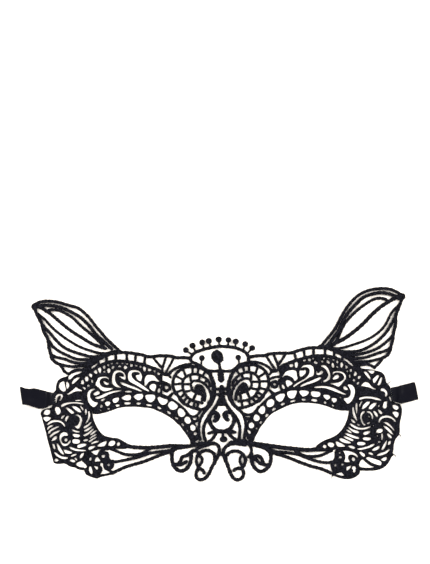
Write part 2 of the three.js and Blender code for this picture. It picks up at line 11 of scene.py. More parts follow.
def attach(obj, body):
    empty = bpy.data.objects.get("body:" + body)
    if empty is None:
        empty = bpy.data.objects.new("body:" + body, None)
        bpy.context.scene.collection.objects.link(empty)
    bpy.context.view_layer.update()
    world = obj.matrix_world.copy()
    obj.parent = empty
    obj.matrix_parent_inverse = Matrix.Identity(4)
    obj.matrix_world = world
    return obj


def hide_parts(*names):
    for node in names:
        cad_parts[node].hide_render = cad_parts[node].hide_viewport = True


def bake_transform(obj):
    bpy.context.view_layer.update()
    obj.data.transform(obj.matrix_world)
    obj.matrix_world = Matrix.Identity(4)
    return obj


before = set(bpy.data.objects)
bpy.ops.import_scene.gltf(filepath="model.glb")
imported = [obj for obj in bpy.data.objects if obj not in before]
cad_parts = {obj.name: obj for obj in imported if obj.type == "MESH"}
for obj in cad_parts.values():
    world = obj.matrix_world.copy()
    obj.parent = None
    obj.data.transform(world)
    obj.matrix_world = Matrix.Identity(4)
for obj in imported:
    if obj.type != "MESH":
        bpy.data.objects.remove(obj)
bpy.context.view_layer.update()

MM = 0.001
FLOOR_Z = 0.0
# Cord centrelines in millimetres, row frame: the cord's width, then its x, y points.
STROKES = {
    "ear_right": """
1.71 | 57.80,21.34 59.88,24.02 61.49,26.00 63.67,28.60 66.15,32.05 67.80,35.04 68.90,37.34 70.53,40.30 72.78,43.85 74.85,46.53 76.52,48.40 78.39,50.08 80.41,51.54 83.42,53.05 87.49,54.21 90.00,54.58 94.25,54.70 96.79,54.41 99.25,53.65 101.56,52.51 104.38,50.59
1.90 | 61.61,21.29 62.34,22.81 64.42,25.50 65.92,27.59 67.90,30.42 69.77,34.28 71.23,37.33 72.53,39.45 74.05,41.45 76.28,43.98 78.63,46.40 81.76,49.24 83.92,50.45 86.30,51.30 88.73,51.91 92.08,52.35 95.46,51.98 98.74,51.05 101.14,50.17 103.68,49.95
1.67 | 65.71,22.39 67.17,25.50 68.72,28.61 70.11,31.74 71.67,34.72 73.79,37.30 76.11,39.82 77.98,41.59 79.93,43.24 82.67,45.28 84.78,46.74 87.77,48.36 89.38,48.92 91.06,49.15 93.61,48.96 95.21,48.34 96.56,47.27
2.18 | 63.16,22.00 66.96,23.92 70.76,25.81 73.59,27.69 76.98,30.21 79.58,32.36 82.08,34.64 83.86,36.45 86.17,38.94 89.28,41.84 92.49,44.58 95.35,46.40 98.95,48.59 101.29,49.52 103.74,50.18
1.52 | 62.07,20.94 63.75,20.60 67.19,20.56 69.74,20.86 72.26,21.43 75.55,22.41 78.81,23.50 82.05,24.65 85.20,26.04 88.19,27.76 90.94,29.83 93.91,32.91 94.88,34.30 96.43,37.36 98.01,40.40 99.53,42.43 102.55,45.53 104.66,49.35
1.75 | 66.58,19.40 69.11,18.92 71.67,18.74 75.94,18.77 79.34,19.11 83.38,20.53 85.65,21.70 87.86,23.01 89.94,24.53 91.89,26.20 93.72,28.01 95.41,29.97 96.84,32.13 98.14,34.37 99.72,37.42 101.46,41.29
1.90 | 104.20,50.19 103.47,46.91 102.01,42.94 100.61,38.91 100.61,35.45 100.34,32.94 99.22,28.83 98.99,25.48 98.07,22.23 97.27,18.94 95.99,16.85 93.08,15.17
1.67 | 69.99,17.46 74.25,16.96 78.54,17.01 81.93,17.66 84.41,18.38 86.87,19.14 90.06,20.53 93.66,22.92 96.33,25.17 98.09,27.04 99.74,28.99
1.67 | 72.24,15.88 74.75,15.27 79.00,14.96 83.24,15.42 87.31,16.65 90.50,17.81 94.51,19.19 96.06,19.94 98.06,21.53
1.67 | 74.04,14.15 76.49,13.15 80.01,13.01 83.51,13.06 87.87,13.68 91.24,14.61 93.77,15.30
1.67 | 76.32,11.76 78.90,11.29 81.52,11.39 85.02,11.38 86.65,10.77 88.86,9.37
1.67 | 88.44,9.77 91.05,12.02 93.52,15.59
2.59 | 56.94,21.34 60.36,21.23 62.87,20.72 65.27,19.80 68.34,18.28 70.63,17.12 72.82,15.74 76.15,13.03 78.01,11.22 79.64,9.22
2.74 | 102.55,50.63 104.20,50.64 104.70,50.36 104.73,49.80 103.62,49.14 101.61,50.39
""",
    "ear_left": """
1.75 | -57.19,19.56 -59.75,21.87 -62.25,24.21 -64.71,26.61 -67.45,29.90 -70.22,33.08 -72.26,35.79 -74.43,38.50 -76.32,40.31 -78.23,42.09 -80.39,43.58 -84.52,44.84 -87.80,45.77 -91.86,46.96 -96.06,47.49 -99.45,47.48 -101.94,47.01 -103.51,46.44 -105.67,45.08
1.90 | -60.98,20.08 -64.13,22.87 -66.64,25.22 -69.69,28.00 -71.81,30.46 -73.82,33.14 -76.83,36.27 -78.73,38.02 -81.58,39.89 -84.57,41.51 -87.64,42.98 -90.04,43.88 -92.52,44.51 -95.89,45.03 -98.44,45.17 -101.84,44.95 -105.23,44.71
1.67 | -66.16,22.26 -68.61,24.68 -71.10,26.96 -73.66,29.18 -75.70,30.85 -78.34,33.04 -80.22,34.80 -82.55,37.23 -85.14,39.14 -87.32,40.35 -89.49,41.52 -91.80,42.36 -95.98,42.50 -97.53,42.18 -99.04,41.45
1.88 | -64.47,20.48 -67.77,21.48 -71.03,22.57 -74.86,24.56 -78.47,26.88 -81.38,28.58 -84.88,30.95 -88.24,33.56 -91.51,36.32 -94.75,39.12 -98.26,41.85 -101.38,43.62 -104.51,45.07
1.52 | -61.09,18.39 -62.78,17.99 -65.36,17.78 -69.62,18.23 -72.89,19.19 -77.00,20.48 -80.94,22.20 -84.61,24.42 -88.19,26.69 -90.92,28.80 -93.58,30.95 -96.63,33.99 -99.46,37.14 -101.50,38.82 -103.45,40.42 -105.52,44.05
1.75 | -65.77,16.58 -69.17,15.96 -73.49,15.99 -76.82,16.80 -79.27,17.50 -82.50,18.52 -85.64,19.72 -87.90,20.91 -90.02,22.38 -91.87,24.14 -93.65,25.99 -95.78,28.63 -97.50,30.48 -99.81,32.98 -101.26,35.10 -102.66,37.22
1.90 | -105.17,44.58 -104.38,41.42 -103.02,38.43 -101.05,34.66 -100.47,32.03 -99.73,29.66 -97.58,25.87 -97.25,23.28 -96.95,20.77 -96.03,17.52 -95.44,15.07 -93.83,13.10 -90.03,11.15
1.67 | -69.38,14.34 -72.87,14.08 -76.36,14.24 -80.61,14.47 -83.30,15.20 -86.45,16.66 -89.61,18.08 -93.28,20.37 -95.21,22.21 -96.60,24.38 -98.21,26.36
1.67 | -71.69,12.90 -74.23,12.48 -76.79,12.12 -81.26,12.30 -84.67,13.14 -87.85,14.43 -90.33,15.02 -93.67,15.93 -96.58,17.85
1.67 | -73.34,11.82 -75.77,10.98 -78.27,10.61 -81.61,10.20 -85.83,10.43 -88.31,10.92 -90.74,11.56
1.67 | -75.04,9.30 -76.67,8.67 -80.06,8.24 -82.41,7.91 -85.85,5.70
1.67 | -85.78,6.05 -88.01,7.35 -89.45,9.49 -90.86,11.58
2.59 | -56.21,18.46 -59.58,18.37 -61.98,17.76 -65.08,16.44 -68.18,14.93 -71.19,13.40 -73.30,12.03 -74.49,10.92 -75.95,8.93 -76.99,6.63
2.74 | -104.30,44.41 -105.72,44.49 -105.79,44.15 -104.97,44.02 -103.69,44.88
""",
    "ladder_right": """
1.85 | 17.02,15.58 20.41,16.22 22.98,16.45 25.58,16.48 28.01,17.26 32.22,17.79 36.45,17.92 40.82,18.00 44.14,19.03 47.45,19.97 50.72,20.75 54.93,21.01 57.49,20.88
1.86 | 34.14,8.69 35.09,9.93 36.41,10.76 39.47,12.15 43.44,13.62 45.96,14.25 49.26,15.25 53.48,16.15 56.93,16.43 61.25,16.25 63.82,15.78 66.37,15.10 68.82,14.09 71.92,12.38 75.27,9.43
1.49 | 26.65,16.60 28.46,13.58 29.94,11.37 31.86,8.42
1.56 | 30.83,17.67 32.07,14.50 33.33,11.33 33.86,8.82
1.54 | 37.86,17.27 35.88,14.27 33.86,11.43
1.55 | 42.76,18.72 43.26,16.42 43.90,14.15
1.56 | 48.17,20.45 48.51,17.90 48.74,15.33
1.57 | 53.81,21.05 53.81,18.63 53.69,16.21
1.57 | 60.36,20.48 60.36,16.21
1.57 | 65.61,18.77 65.49,15.34
1.64 | 70.51,15.92 69.77,13.07
1.55 | 17.05,12.90 21.31,12.78 23.75,12.18 27.57,10.26 28.88,9.19 29.94,7.81 30.78,7.43 32.53,7.69 33.86,8.80
""",
    "ladder_left": """
1.86 | -16.42,14.97 -19.82,15.35 -24.07,15.31 -27.33,16.14 -31.59,16.39 -34.14,16.41 -37.52,15.92 -40.09,15.85 -44.22,16.97 -46.75,17.41 -50.06,17.95 -53.39,18.24 -56.77,18.27
1.86 | -33.04,6.90 -34.70,8.20 -38.57,9.66 -42.48,11.11 -45.82,11.86 -48.29,12.36 -51.63,12.91 -54.97,13.31 -57.47,13.40 -59.96,13.30 -62.38,12.83 -64.74,12.07 -67.84,10.81 -71.43,8.64 -72.95,6.68
1.38 | -25.84,15.19 -27.37,12.06 -28.68,9.79 -30.41,6.75
1.51 | -30.18,16.00 -31.15,12.82 -32.16,9.66 -32.51,7.19
1.40 | -37.46,15.11 -35.18,12.30 -32.90,9.68
1.53 | -42.08,16.26 -42.64,11.88
1.52 | -47.51,17.78 -47.65,15.32 -47.75,12.86
1.54 | -52.74,18.44 -52.56,13.76
1.57 | -58.85,18.10 -58.95,13.88
1.57 | -64.17,16.25 -64.12,13.07
1.64 | -69.30,13.71 -68.37,11.16
1.72 | -15.99,11.55 -19.32,11.22 -22.41,10.24 -26.11,8.29 -27.33,7.30 -28.45,5.95 -29.46,5.53 -31.38,5.88 -32.78,7.01
""",
    "scroll_right": """
1.43 | 34.15,2.72 34.85,-0.79 35.59,-3.33
1.72 | 30.31,-1.37 30.01,0.18 30.19,0.81 31.22,1.66 32.46,1.52 32.90,1.03 33.15,0.41 32.83,-0.89 31.76,-1.64 30.69,-0.84
1.72 | 28.85,-3.22 30.73,-4.98 31.59,-5.29 32.49,-5.27 34.15,-4.76 36.21,-3.26
1.43 | 28.55,2.74 30.02,3.59 32.47,4.39 35.00,4.35
1.43 | 28.71,5.63 31.22,8.69
1.43 | 35.00,4.51 34.89,7.02 34.05,8.46
""",
    "scroll_left": """
1.43 | -32.19,0.79 -32.52,-1.94 -33.43,-5.44
1.72 | -28.35,-3.13 -28.20,-1.48 -28.48,-0.77 -29.71,0.13 -30.46,0.18 -31.11,-0.15 -31.77,-1.50 -31.31,-2.96 -30.00,-3.77 -29.30,-3.44 -28.74,-2.79
1.72 | -26.63,-5.10 -28.61,-7.04 -29.58,-7.37 -32.31,-6.80 -34.50,-5.26
1.43 | -28.11,-0.46 -31.46,1.31 -33.38,1.20
1.43 | -27.58,3.86 -30.22,6.95
1.43 | -33.36,2.63 -33.31,5.17 -32.60,6.71
""",
    "rim_left": """
1.72 | -12.27,-29.33 -15.25,-30.32
1.57 | -12.94,-31.08 -15.13,-32.96
1.43 | -12.58,-20.90 -15.07,-21.28
""",
    "rim_right": """
1.57 | 16.31,-30.23 18.02,-32.22
1.43 | 15.16,-19.19 17.84,-19.36
1.43 | 14.31,-16.52 14.30,-18.47 15.58,-22.74
""",
    "under_right": """
2.36 | 19.32,-33.90 22.73,-34.01 26.12,-34.50 29.53,-34.98 33.80,-35.56 37.22,-36.03 41.51,-36.49 44.94,-36.86 49.26,-37.22 52.76,-37.22 55.38,-36.67
1.72 | 42.89,-36.88 44.02,-38.22 45.52,-39.15 48.72,-40.57 51.33,-40.93 53.96,-40.90 58.31,-40.26 60.77,-39.25 63.92,-37.80
1.72 | 28.59,-36.76 31.86,-38.13 35.42,-38.51 38.85,-38.81 42.25,-39.37 44.83,-39.84 48.85,-41.38 52.86,-42.85 56.17,-43.76 58.71,-44.22 61.27,-44.54 62.98,-44.41 63.78,-44.10
1.93 | 27.68,-35.51 29.19,-37.60 32.14,-39.38 35.41,-40.33 38.62,-41.37 41.78,-42.56 45.68,-44.18 48.88,-45.31 52.07,-46.43 55.36,-47.28 57.83,-47.91 60.20,-48.82 63.26,-50.27
""",
    "under_left": """
2.19 | -17.00,-35.22 -20.42,-35.15 -23.83,-35.04 -27.29,-34.89 -30.71,-35.20 -34.14,-35.59 -37.58,-35.85 -41.02,-36.04 -44.47,-35.90 -48.75,-35.65 -51.28,-35.23 -52.91,-34.68
1.72 | -39.17,-35.99 -40.21,-37.26 -42.31,-38.48 -45.51,-39.68 -48.03,-39.97 -51.44,-39.97 -54.02,-39.66 -58.05,-38.12 -61.24,-36.83
1.72 | -25.28,-36.32 -28.46,-37.58 -31.88,-38.01 -36.05,-38.56 -39.40,-39.12 -43.40,-40.52 -46.63,-41.50 -49.92,-42.25 -54.07,-43.15 -56.54,-43.62 -58.98,-43.98 -60.46,-43.57
1.90 | -24.61,-35.30 -26.20,-37.28 -28.38,-38.50 -31.62,-39.57 -35.67,-41.09 -39.67,-42.71 -42.90,-43.92 -46.23,-44.88 -49.54,-45.84 -52.85,-46.82 -56.81,-48.53 -60.65,-50.49
""",
    "medal_right": """
1.72 | 17.62,11.30 20.15,11.16 21.77,10.71 24.02,9.55 25.96,7.93 26.95,6.57 27.87,4.22 28.30,1.72 28.29,0.03 27.98,-1.63 27.33,-3.17 25.34,-5.93 23.03,-8.43 21.11,-10.10 19.68,-11.01 17.38,-12.09 14.95,-12.83 12.42,-13.31 10.63,-13.20 9.80,-12.77 8.55,-11.47 7.30,-9.14 6.56,-6.63 5.88,-2.38 5.81,1.09 6.13,2.81 7.14,5.20 8.53,7.36 9.72,8.57 11.89,9.90 13.46,10.54 17.62,11.30
2.14 | 7.17,5.62 5.98,2.50 5.41,0.06 5.22,-2.45 5.44,-5.80 5.86,-7.44 6.60,-8.96 8.00,-11.09 9.67,-12.99
1.57 | 7.65,-0.81 8.23,1.78 9.28,3.27 11.89,5.54 13.40,6.35 15.03,6.87 17.58,6.98 19.99,6.13 21.34,5.08 22.69,2.92 23.04,1.24 22.92,-1.31 21.69,-4.47 20.18,-6.51 18.93,-7.65 16.61,-8.74 14.08,-9.15 10.67,-9.70
1.50 | 18.00,-2.09 18.53,0.50 17.96,2.23 17.36,2.93 16.53,3.32 14.79,3.45 13.95,3.24 10.99,1.43 9.26,-0.55 7.60,-3.68 6.90,-7.10
1.78 | 9.58,-8.86 9.64,-6.38 10.04,-4.88 11.05,-2.72 12.34,-0.76 14.00,0.42 15.01,0.16 15.37,-0.31 15.68,-1.55 15.34,-2.83 14.40,-3.73 13.87,-3.83 12.80,-2.85
1.43 | 13.35,-0.29 14.29,-0.72 14.74,-1.63 14.55,-2.64 13.74,-3.28 12.72,-3.29 11.97,-2.56 11.89,-1.55 12.38,-0.65 13.35,-0.29
1.43 | 9.92,8.23 11.34,6.06
1.43 | 13.62,10.53 14.30,6.94
1.43 | 17.04,11.19 17.04,7.20
1.43 | 22.06,10.22 20.75,6.23
1.43 | 26.29,6.61 24.29,5.33 22.30,4.04
1.43 | 28.16,1.84 25.68,1.84 23.20,1.84
1.43 | 27.56,-3.00 25.08,-2.43 22.60,-1.86
1.43 | 25.05,-6.40 21.80,-4.12
1.50 | 23.24,-8.32 20.39,-6.04
1.50 | 20.91,-10.23 18.92,-7.67
1.50 | 17.77,-12.00 16.91,-8.92
1.50 | 13.35,-12.96 12.78,-9.54
1.43 | 9.26,3.02 10.97,1.03
1.43 | 12.83,5.92 13.51,3.35
1.43 | 18.18,6.52 18.19,2.81
1.43 | 18.47,1.56 22.74,1.56
1.43 | 18.80,-2.33 22.49,-2.83
1.57 | 15.90,-4.31 17.61,-8.02
1.64 | 9.42,-6.07 12.68,-4.79 15.85,-3.70 17.82,-2.16
1.50 | 12.14,-5.48 12.43,-8.90
1.57 | 11.39,-14.16 13.19,-16.13 14.02,-16.62 15.80,-17.14 17.64,-17.13 19.36,-16.49 20.07,-15.91 22.74,-12.49
1.43 | 14.03,-16.92 14.47,-18.72 15.19,-19.45 16.14,-19.70 18.02,-19.51 18.72,-18.84 19.53,-17.24
1.72 | 21.14,-9.98 22.48,-9.56 24.26,-7.96 25.18,-6.82 25.84,-5.16 27.82,-3.08
""",
    "medal_left": """
1.72 | -16.35,10.20 -18.07,10.01 -19.73,9.51 -22.66,7.80 -23.93,6.70 -24.90,5.40 -25.91,3.22 -26.38,0.84 -26.36,-0.76 -25.99,-2.31 -24.94,-4.47 -23.43,-6.54 -21.78,-8.51 -20.09,-10.45 -18.83,-11.53 -17.36,-12.33 -13.36,-13.71 -10.79,-14.18 -8.95,-13.98 -7.28,-13.06 -6.03,-11.65 -4.83,-9.19 -4.31,-7.45 -3.80,-4.89 -3.36,-2.29 -3.36,0.45 -3.71,2.25 -4.87,4.76 -5.94,6.22 -7.99,7.99 -9.52,8.91 -12.01,9.83 -13.74,10.16 -16.35,10.20
2.14 | -5.10,5.08 -3.62,1.98 -3.01,-0.55 -2.83,-3.15 -3.04,-6.64 -3.46,-8.40 -4.60,-10.88 -7.57,-14.13
1.57 | -5.16,-1.35 -5.48,0.37 -6.42,2.20 -9.25,4.58 -11.73,5.67 -14.37,5.94 -16.93,5.44 -19.07,4.17 -20.52,2.34 -20.85,-0.02 -20.53,-2.47 -19.66,-4.78 -18.29,-6.80 -16.46,-8.41 -14.99,-9.25 -11.69,-10.03 -9.29,-10.76
1.50 | -15.48,-2.38 -16.07,0.02 -15.57,1.42 -14.97,1.84 -13.42,2.22 -11.71,2.08 -10.04,1.47 -7.85,-0.16 -6.16,-2.33 -4.96,-4.91 -4.43,-7.51
1.78 | -8.37,-9.35 -7.98,-6.09 -8.64,-3.75 -9.90,-1.67 -11.73,-0.57 -12.28,-0.55 -12.95,-1.02 -13.15,-2.40 -12.64,-3.29 -12.15,-3.63 -11.38,-2.86
1.43 | -11.32,-0.52 -12.54,-0.97 -13.17,-2.07 -12.97,-3.37 -11.97,-4.20 -10.67,-4.24 -9.67,-3.35 -9.48,-2.10 -10.07,-0.96 -11.32,-0.52
1.43 | -8.10,7.05 -9.39,4.78
1.43 | -11.77,9.32 -12.31,5.57
1.43 | -15.02,9.77 -15.22,5.68
1.38 | -20.54,8.68 -19.12,4.95
1.32 | -24.98,4.95 -22.88,3.89 -20.78,2.82
1.43 | -26.68,-0.17 -24.00,0.20 -21.32,0.57
1.43 | -25.36,-4.87 -22.91,-3.89 -20.45,-2.90
1.43 | -22.30,-7.96 -19.44,-4.99
1.50 | -20.64,-10.11 -18.03,-7.16
1.50 | -18.34,-12.00 -16.28,-8.83
1.50 | -14.71,-13.38 -13.86,-9.82
1.50 | -12.46,-13.67 -11.86,-9.95
1.43 | -7.27,2.08 -8.86,0.13
1.43 | -11.11,4.76 -11.48,2.34
1.43 | -16.53,5.14 -16.01,1.96
1.43 | -16.72,0.21 -20.93,0.23
1.43 | -16.72,-3.65 -20.41,-4.26
1.57 | -13.13,-5.10 -14.86,-8.95
1.64 | -7.80,-6.69 -10.93,-5.36 -13.28,-4.53 -15.93,-2.68
1.50 | -9.38,-6.09 -9.81,-9.54
1.57 | -10.47,-14.44 -12.25,-17.21 -13.58,-18.14 -15.15,-18.35 -16.67,-17.80 -17.29,-17.28 -19.85,-14.01
1.43 | -12.32,-18.23 -12.59,-20.53 -13.93,-20.95 -15.09,-20.51 -16.13,-18.57
1.72 | -19.19,-11.15 -19.79,-11.10 -20.69,-10.33 -22.25,-8.59 -23.53,-6.28 -25.75,-4.52
""",
    "curlout_right": """
2.14 | 16.10,-33.13 19.29,-34.31 22.53,-35.14 25.88,-36.22 28.10,-37.74 29.10,-39.24 29.52,-40.94 29.52,-42.64 29.27,-44.30 28.72,-45.89 27.79,-47.29 26.58,-48.46 25.13,-49.27 23.51,-49.56 22.71,-49.37 21.32,-48.50 20.17,-47.32 19.29,-45.92 18.32,-41.86 18.69,-39.44
2.00 | 19.18,-43.51 20.19,-41.39 21.33,-40.63 22.03,-40.63 22.73,-40.80 23.84,-41.73 25.81,-45.53 26.83,-45.99 28.61,-45.38
1.86 | 20.43,-41.99 23.22,-44.89 23.84,-45.25 26.18,-45.47
""",
    "curlin_right": """
2.00 | 15.30,-34.47 11.93,-34.00 9.41,-33.61 6.88,-33.88 4.56,-34.91 2.91,-36.83 2.43,-38.45 2.75,-40.97 3.96,-44.15 5.25,-47.30 6.41,-50.52 8.31,-53.42 9.03,-53.94 10.72,-54.34 11.54,-54.18 12.90,-53.32 13.39,-52.74 13.94,-51.30 13.63,-49.13 12.80,-48.08 11.49,-47.72 9.31,-48.21 8.41,-49.23
2.00 | 4.61,-40.36 5.44,-39.13 8.08,-38.00 10.45,-38.00 12.65,-38.97 14.26,-40.83 15.05,-43.10 14.77,-44.66 13.65,-46.82 13.09,-47.40
1.64 | 13.84,-40.50 12.39,-41.21 11.77,-42.62 11.95,-44.19 13.60,-47.00
1.72 | 16.15,-33.65 17.52,-34.96 18.07,-35.88 18.47,-38.00 17.77,-40.08 16.42,-41.45
1.43 | 4.16,-40.79 4.27,-43.31 5.56,-46.40
""",
    "curlin_left": """
2.00 | -13.28,-37.18 -10.26,-35.57 -7.01,-34.57 -3.72,-33.62 -1.99,-33.78 -1.22,-34.21 -0.20,-35.60 0.07,-38.11 -0.51,-40.48 -2.44,-44.15 -4.49,-47.88 -5.85,-50.99 -7.35,-52.91 -8.69,-53.83 -10.24,-54.25 -11.03,-54.22 -12.40,-53.52 -12.84,-52.89 -13.15,-51.34 -12.88,-49.85 -12.23,-48.49 -11.84,-48.02 -11.35,-47.91 -10.05,-48.45 -8.94,-49.34 -8.60,-50.74
2.00 | -2.56,-45.35 -2.52,-41.93 -2.78,-40.26 -3.11,-39.49 -4.27,-38.35 -5.77,-37.66 -8.14,-37.64 -10.21,-38.57 -11.31,-39.75
1.78 | -11.09,-40.97 -9.92,-41.80 -9.59,-43.03 -9.69,-43.69 -12.08,-47.00
1.72 | -11.64,-39.14 -12.72,-41.49 -12.95,-43.18 -12.86,-44.90 -11.92,-47.30
1.72 | -11.70,-38.69 -13.20,-38.04 -14.94,-37.99 -15.73,-38.52 -16.34,-40.12
""",
    "curlout_left": """
2.14 | -16.57,-35.09 -19.90,-35.67 -24.06,-36.37 -25.55,-37.04 -26.12,-37.63 -26.72,-39.15 -26.93,-41.64 -26.69,-44.15 -25.85,-46.48 -24.19,-48.33 -21.99,-49.27 -19.67,-48.77 -17.80,-47.21 -16.56,-45.07 -16.19,-43.45 -15.84,-39.24
2.00 | -14.32,-37.34 -16.33,-38.85 -18.36,-40.46 -20.68,-41.12 -22.68,-44.67 -23.44,-45.26 -25.33,-45.55 -26.79,-44.47
1.86 | -23.71,-45.70 -21.22,-45.62 -18.48,-43.67
1.72 | -16.21,-35.17 -12.97,-34.44 -10.57,-33.76
""",
    "crown": """
1.86 | -16.20,15.01 -14.90,17.15 -13.59,18.15 -12.08,18.87 -8.07,20.20 -5.60,20.76 -3.11,21.30 -0.60,21.70 1.95,21.72 5.35,21.48 9.57,20.80 12.01,19.94 14.34,18.75 15.69,17.55 16.16,16.77 16.66,15.07 16.76,13.36
1.72 | -16.30,15.64 -16.17,13.96 -15.81,13.25 -13.53,12.12 -11.23,10.99 -9.07,9.61 -6.89,8.22 -4.35,7.68 -0.91,7.71 1.66,7.67 5.11,7.60 6.88,7.86 8.50,8.65 11.68,11.35 14.10,11.97 16.54,12.84
""",
    "noseside_R": """
1.86 | 2.46,-8.75 4.67,-12.46 7.30,-15.85 9.37,-18.35 10.95,-21.23 11.60,-23.63 11.83,-26.09 11.60,-29.41 11.18,-31.90
1.72 | 5.74,-7.96 8.17,-11.47 10.57,-13.91 13.14,-16.19 14.30,-18.57 15.01,-21.13 15.18,-23.78 14.62,-28.11 14.13,-32.33
1.86 | 10.60,-31.69 15.15,-32.54
""",
    "noseside_L": """
1.86 | 0.28,-8.61 -1.27,-11.87 -3.43,-14.73 -4.97,-16.70 -6.65,-19.61 -8.22,-22.65 -8.65,-24.32 -8.88,-26.91 -8.59,-29.49 -7.75,-31.96
1.72 | -2.60,-7.32 -4.69,-11.02 -7.22,-14.41 -9.26,-17.04 -11.03,-20.85 -11.44,-23.35 -11.54,-26.75 -11.23,-29.29 -10.65,-31.75
1.86 | -11.56,-33.21 -9.68,-33.48 -6.79,-33.21
""",
    "heart": """
2.22 | -3.04,-20.62 -1.54,-20.36 -1.02,-19.85 -0.44,-18.48 -0.73,-17.06 -1.84,-16.13 -2.56,-15.98 -3.96,-16.48 -5.27,-18.49 -5.40,-20.93 -4.57,-23.23 -2.93,-25.13 -0.68,-26.47 1.04,-26.77
2.22 | 5.34,-20.31 3.94,-19.51 3.04,-18.25 2.89,-17.54 3.40,-16.22 4.02,-15.87 5.54,-15.66 6.32,-15.87 7.58,-16.92 8.48,-19.25 8.37,-21.75 7.22,-24.00 6.03,-25.25 3.69,-26.45 1.11,-26.77
1.86 | -6.04,-27.89 -2.96,-26.96 1.08,-26.89
2.14 | 8.76,-27.22 6.30,-26.68 3.70,-26.73 1.09,-26.77
1.78 | -1.56,-26.93 -2.17,-28.68 -3.18,-30.26 -4.48,-31.62 -5.96,-32.69
1.93 | 4.59,-26.66 6.53,-29.22 9.69,-31.70
1.72 | -6.65,-20.18 -5.30,-17.06 -3.61,-15.08 -1.75,-13.21
1.72 | 9.99,-20.36 8.14,-16.65 6.42,-14.81 4.63,-13.03
1.57 | 2.17,-26.83 2.17,-29.96
2.14 | -16.59,-34.81 -13.25,-34.26 -9.91,-33.79 -5.71,-33.53 -2.34,-33.61
2.71 | 6.20,-33.43 9.57,-33.25 12.94,-33.17 16.30,-33.42 20.48,-33.96
""",
    "trunk": """
1.72 | -1.76,-2.60 0.24,-2.55
1.72 | 2.52,-2.60 4.40,-2.55
1.72 | -2.05,-5.68 0.23,-5.68
1.72 | 2.51,-5.23 4.79,-5.23
""",
    "noseband_L": """
2.29 | -5.61,6.92 -4.34,3.74 -3.19,0.54 -2.82,-2.82 -2.89,-5.43 -3.52,-8.04 -5.03,-11.20 -6.65,-13.40 -8.55,-15.23
1.72 | -5.05,5.20 -3.66,1.92 -3.18,-0.74 -3.15,-2.58 -3.70,-6.09 -4.25,-7.87 -6.29,-10.85
""",
    "link": """
1.57 | 0.23,-39.88 2.79,-39.88
""",
    "temple_right": """
0.37 | 102.32,-28.14 103.46,-29.17 103.91,-30.53
0.37 | 98.84,-39.54 100.15,-40.22 100.95,-41.59
0.34 | 96.05,0.47 97.19,1.27 97.76,2.18
""",
    "rings_right": """
0.40 | 64.92,-51.62 64.24,-52.88 64.35,-54.02
""",
}
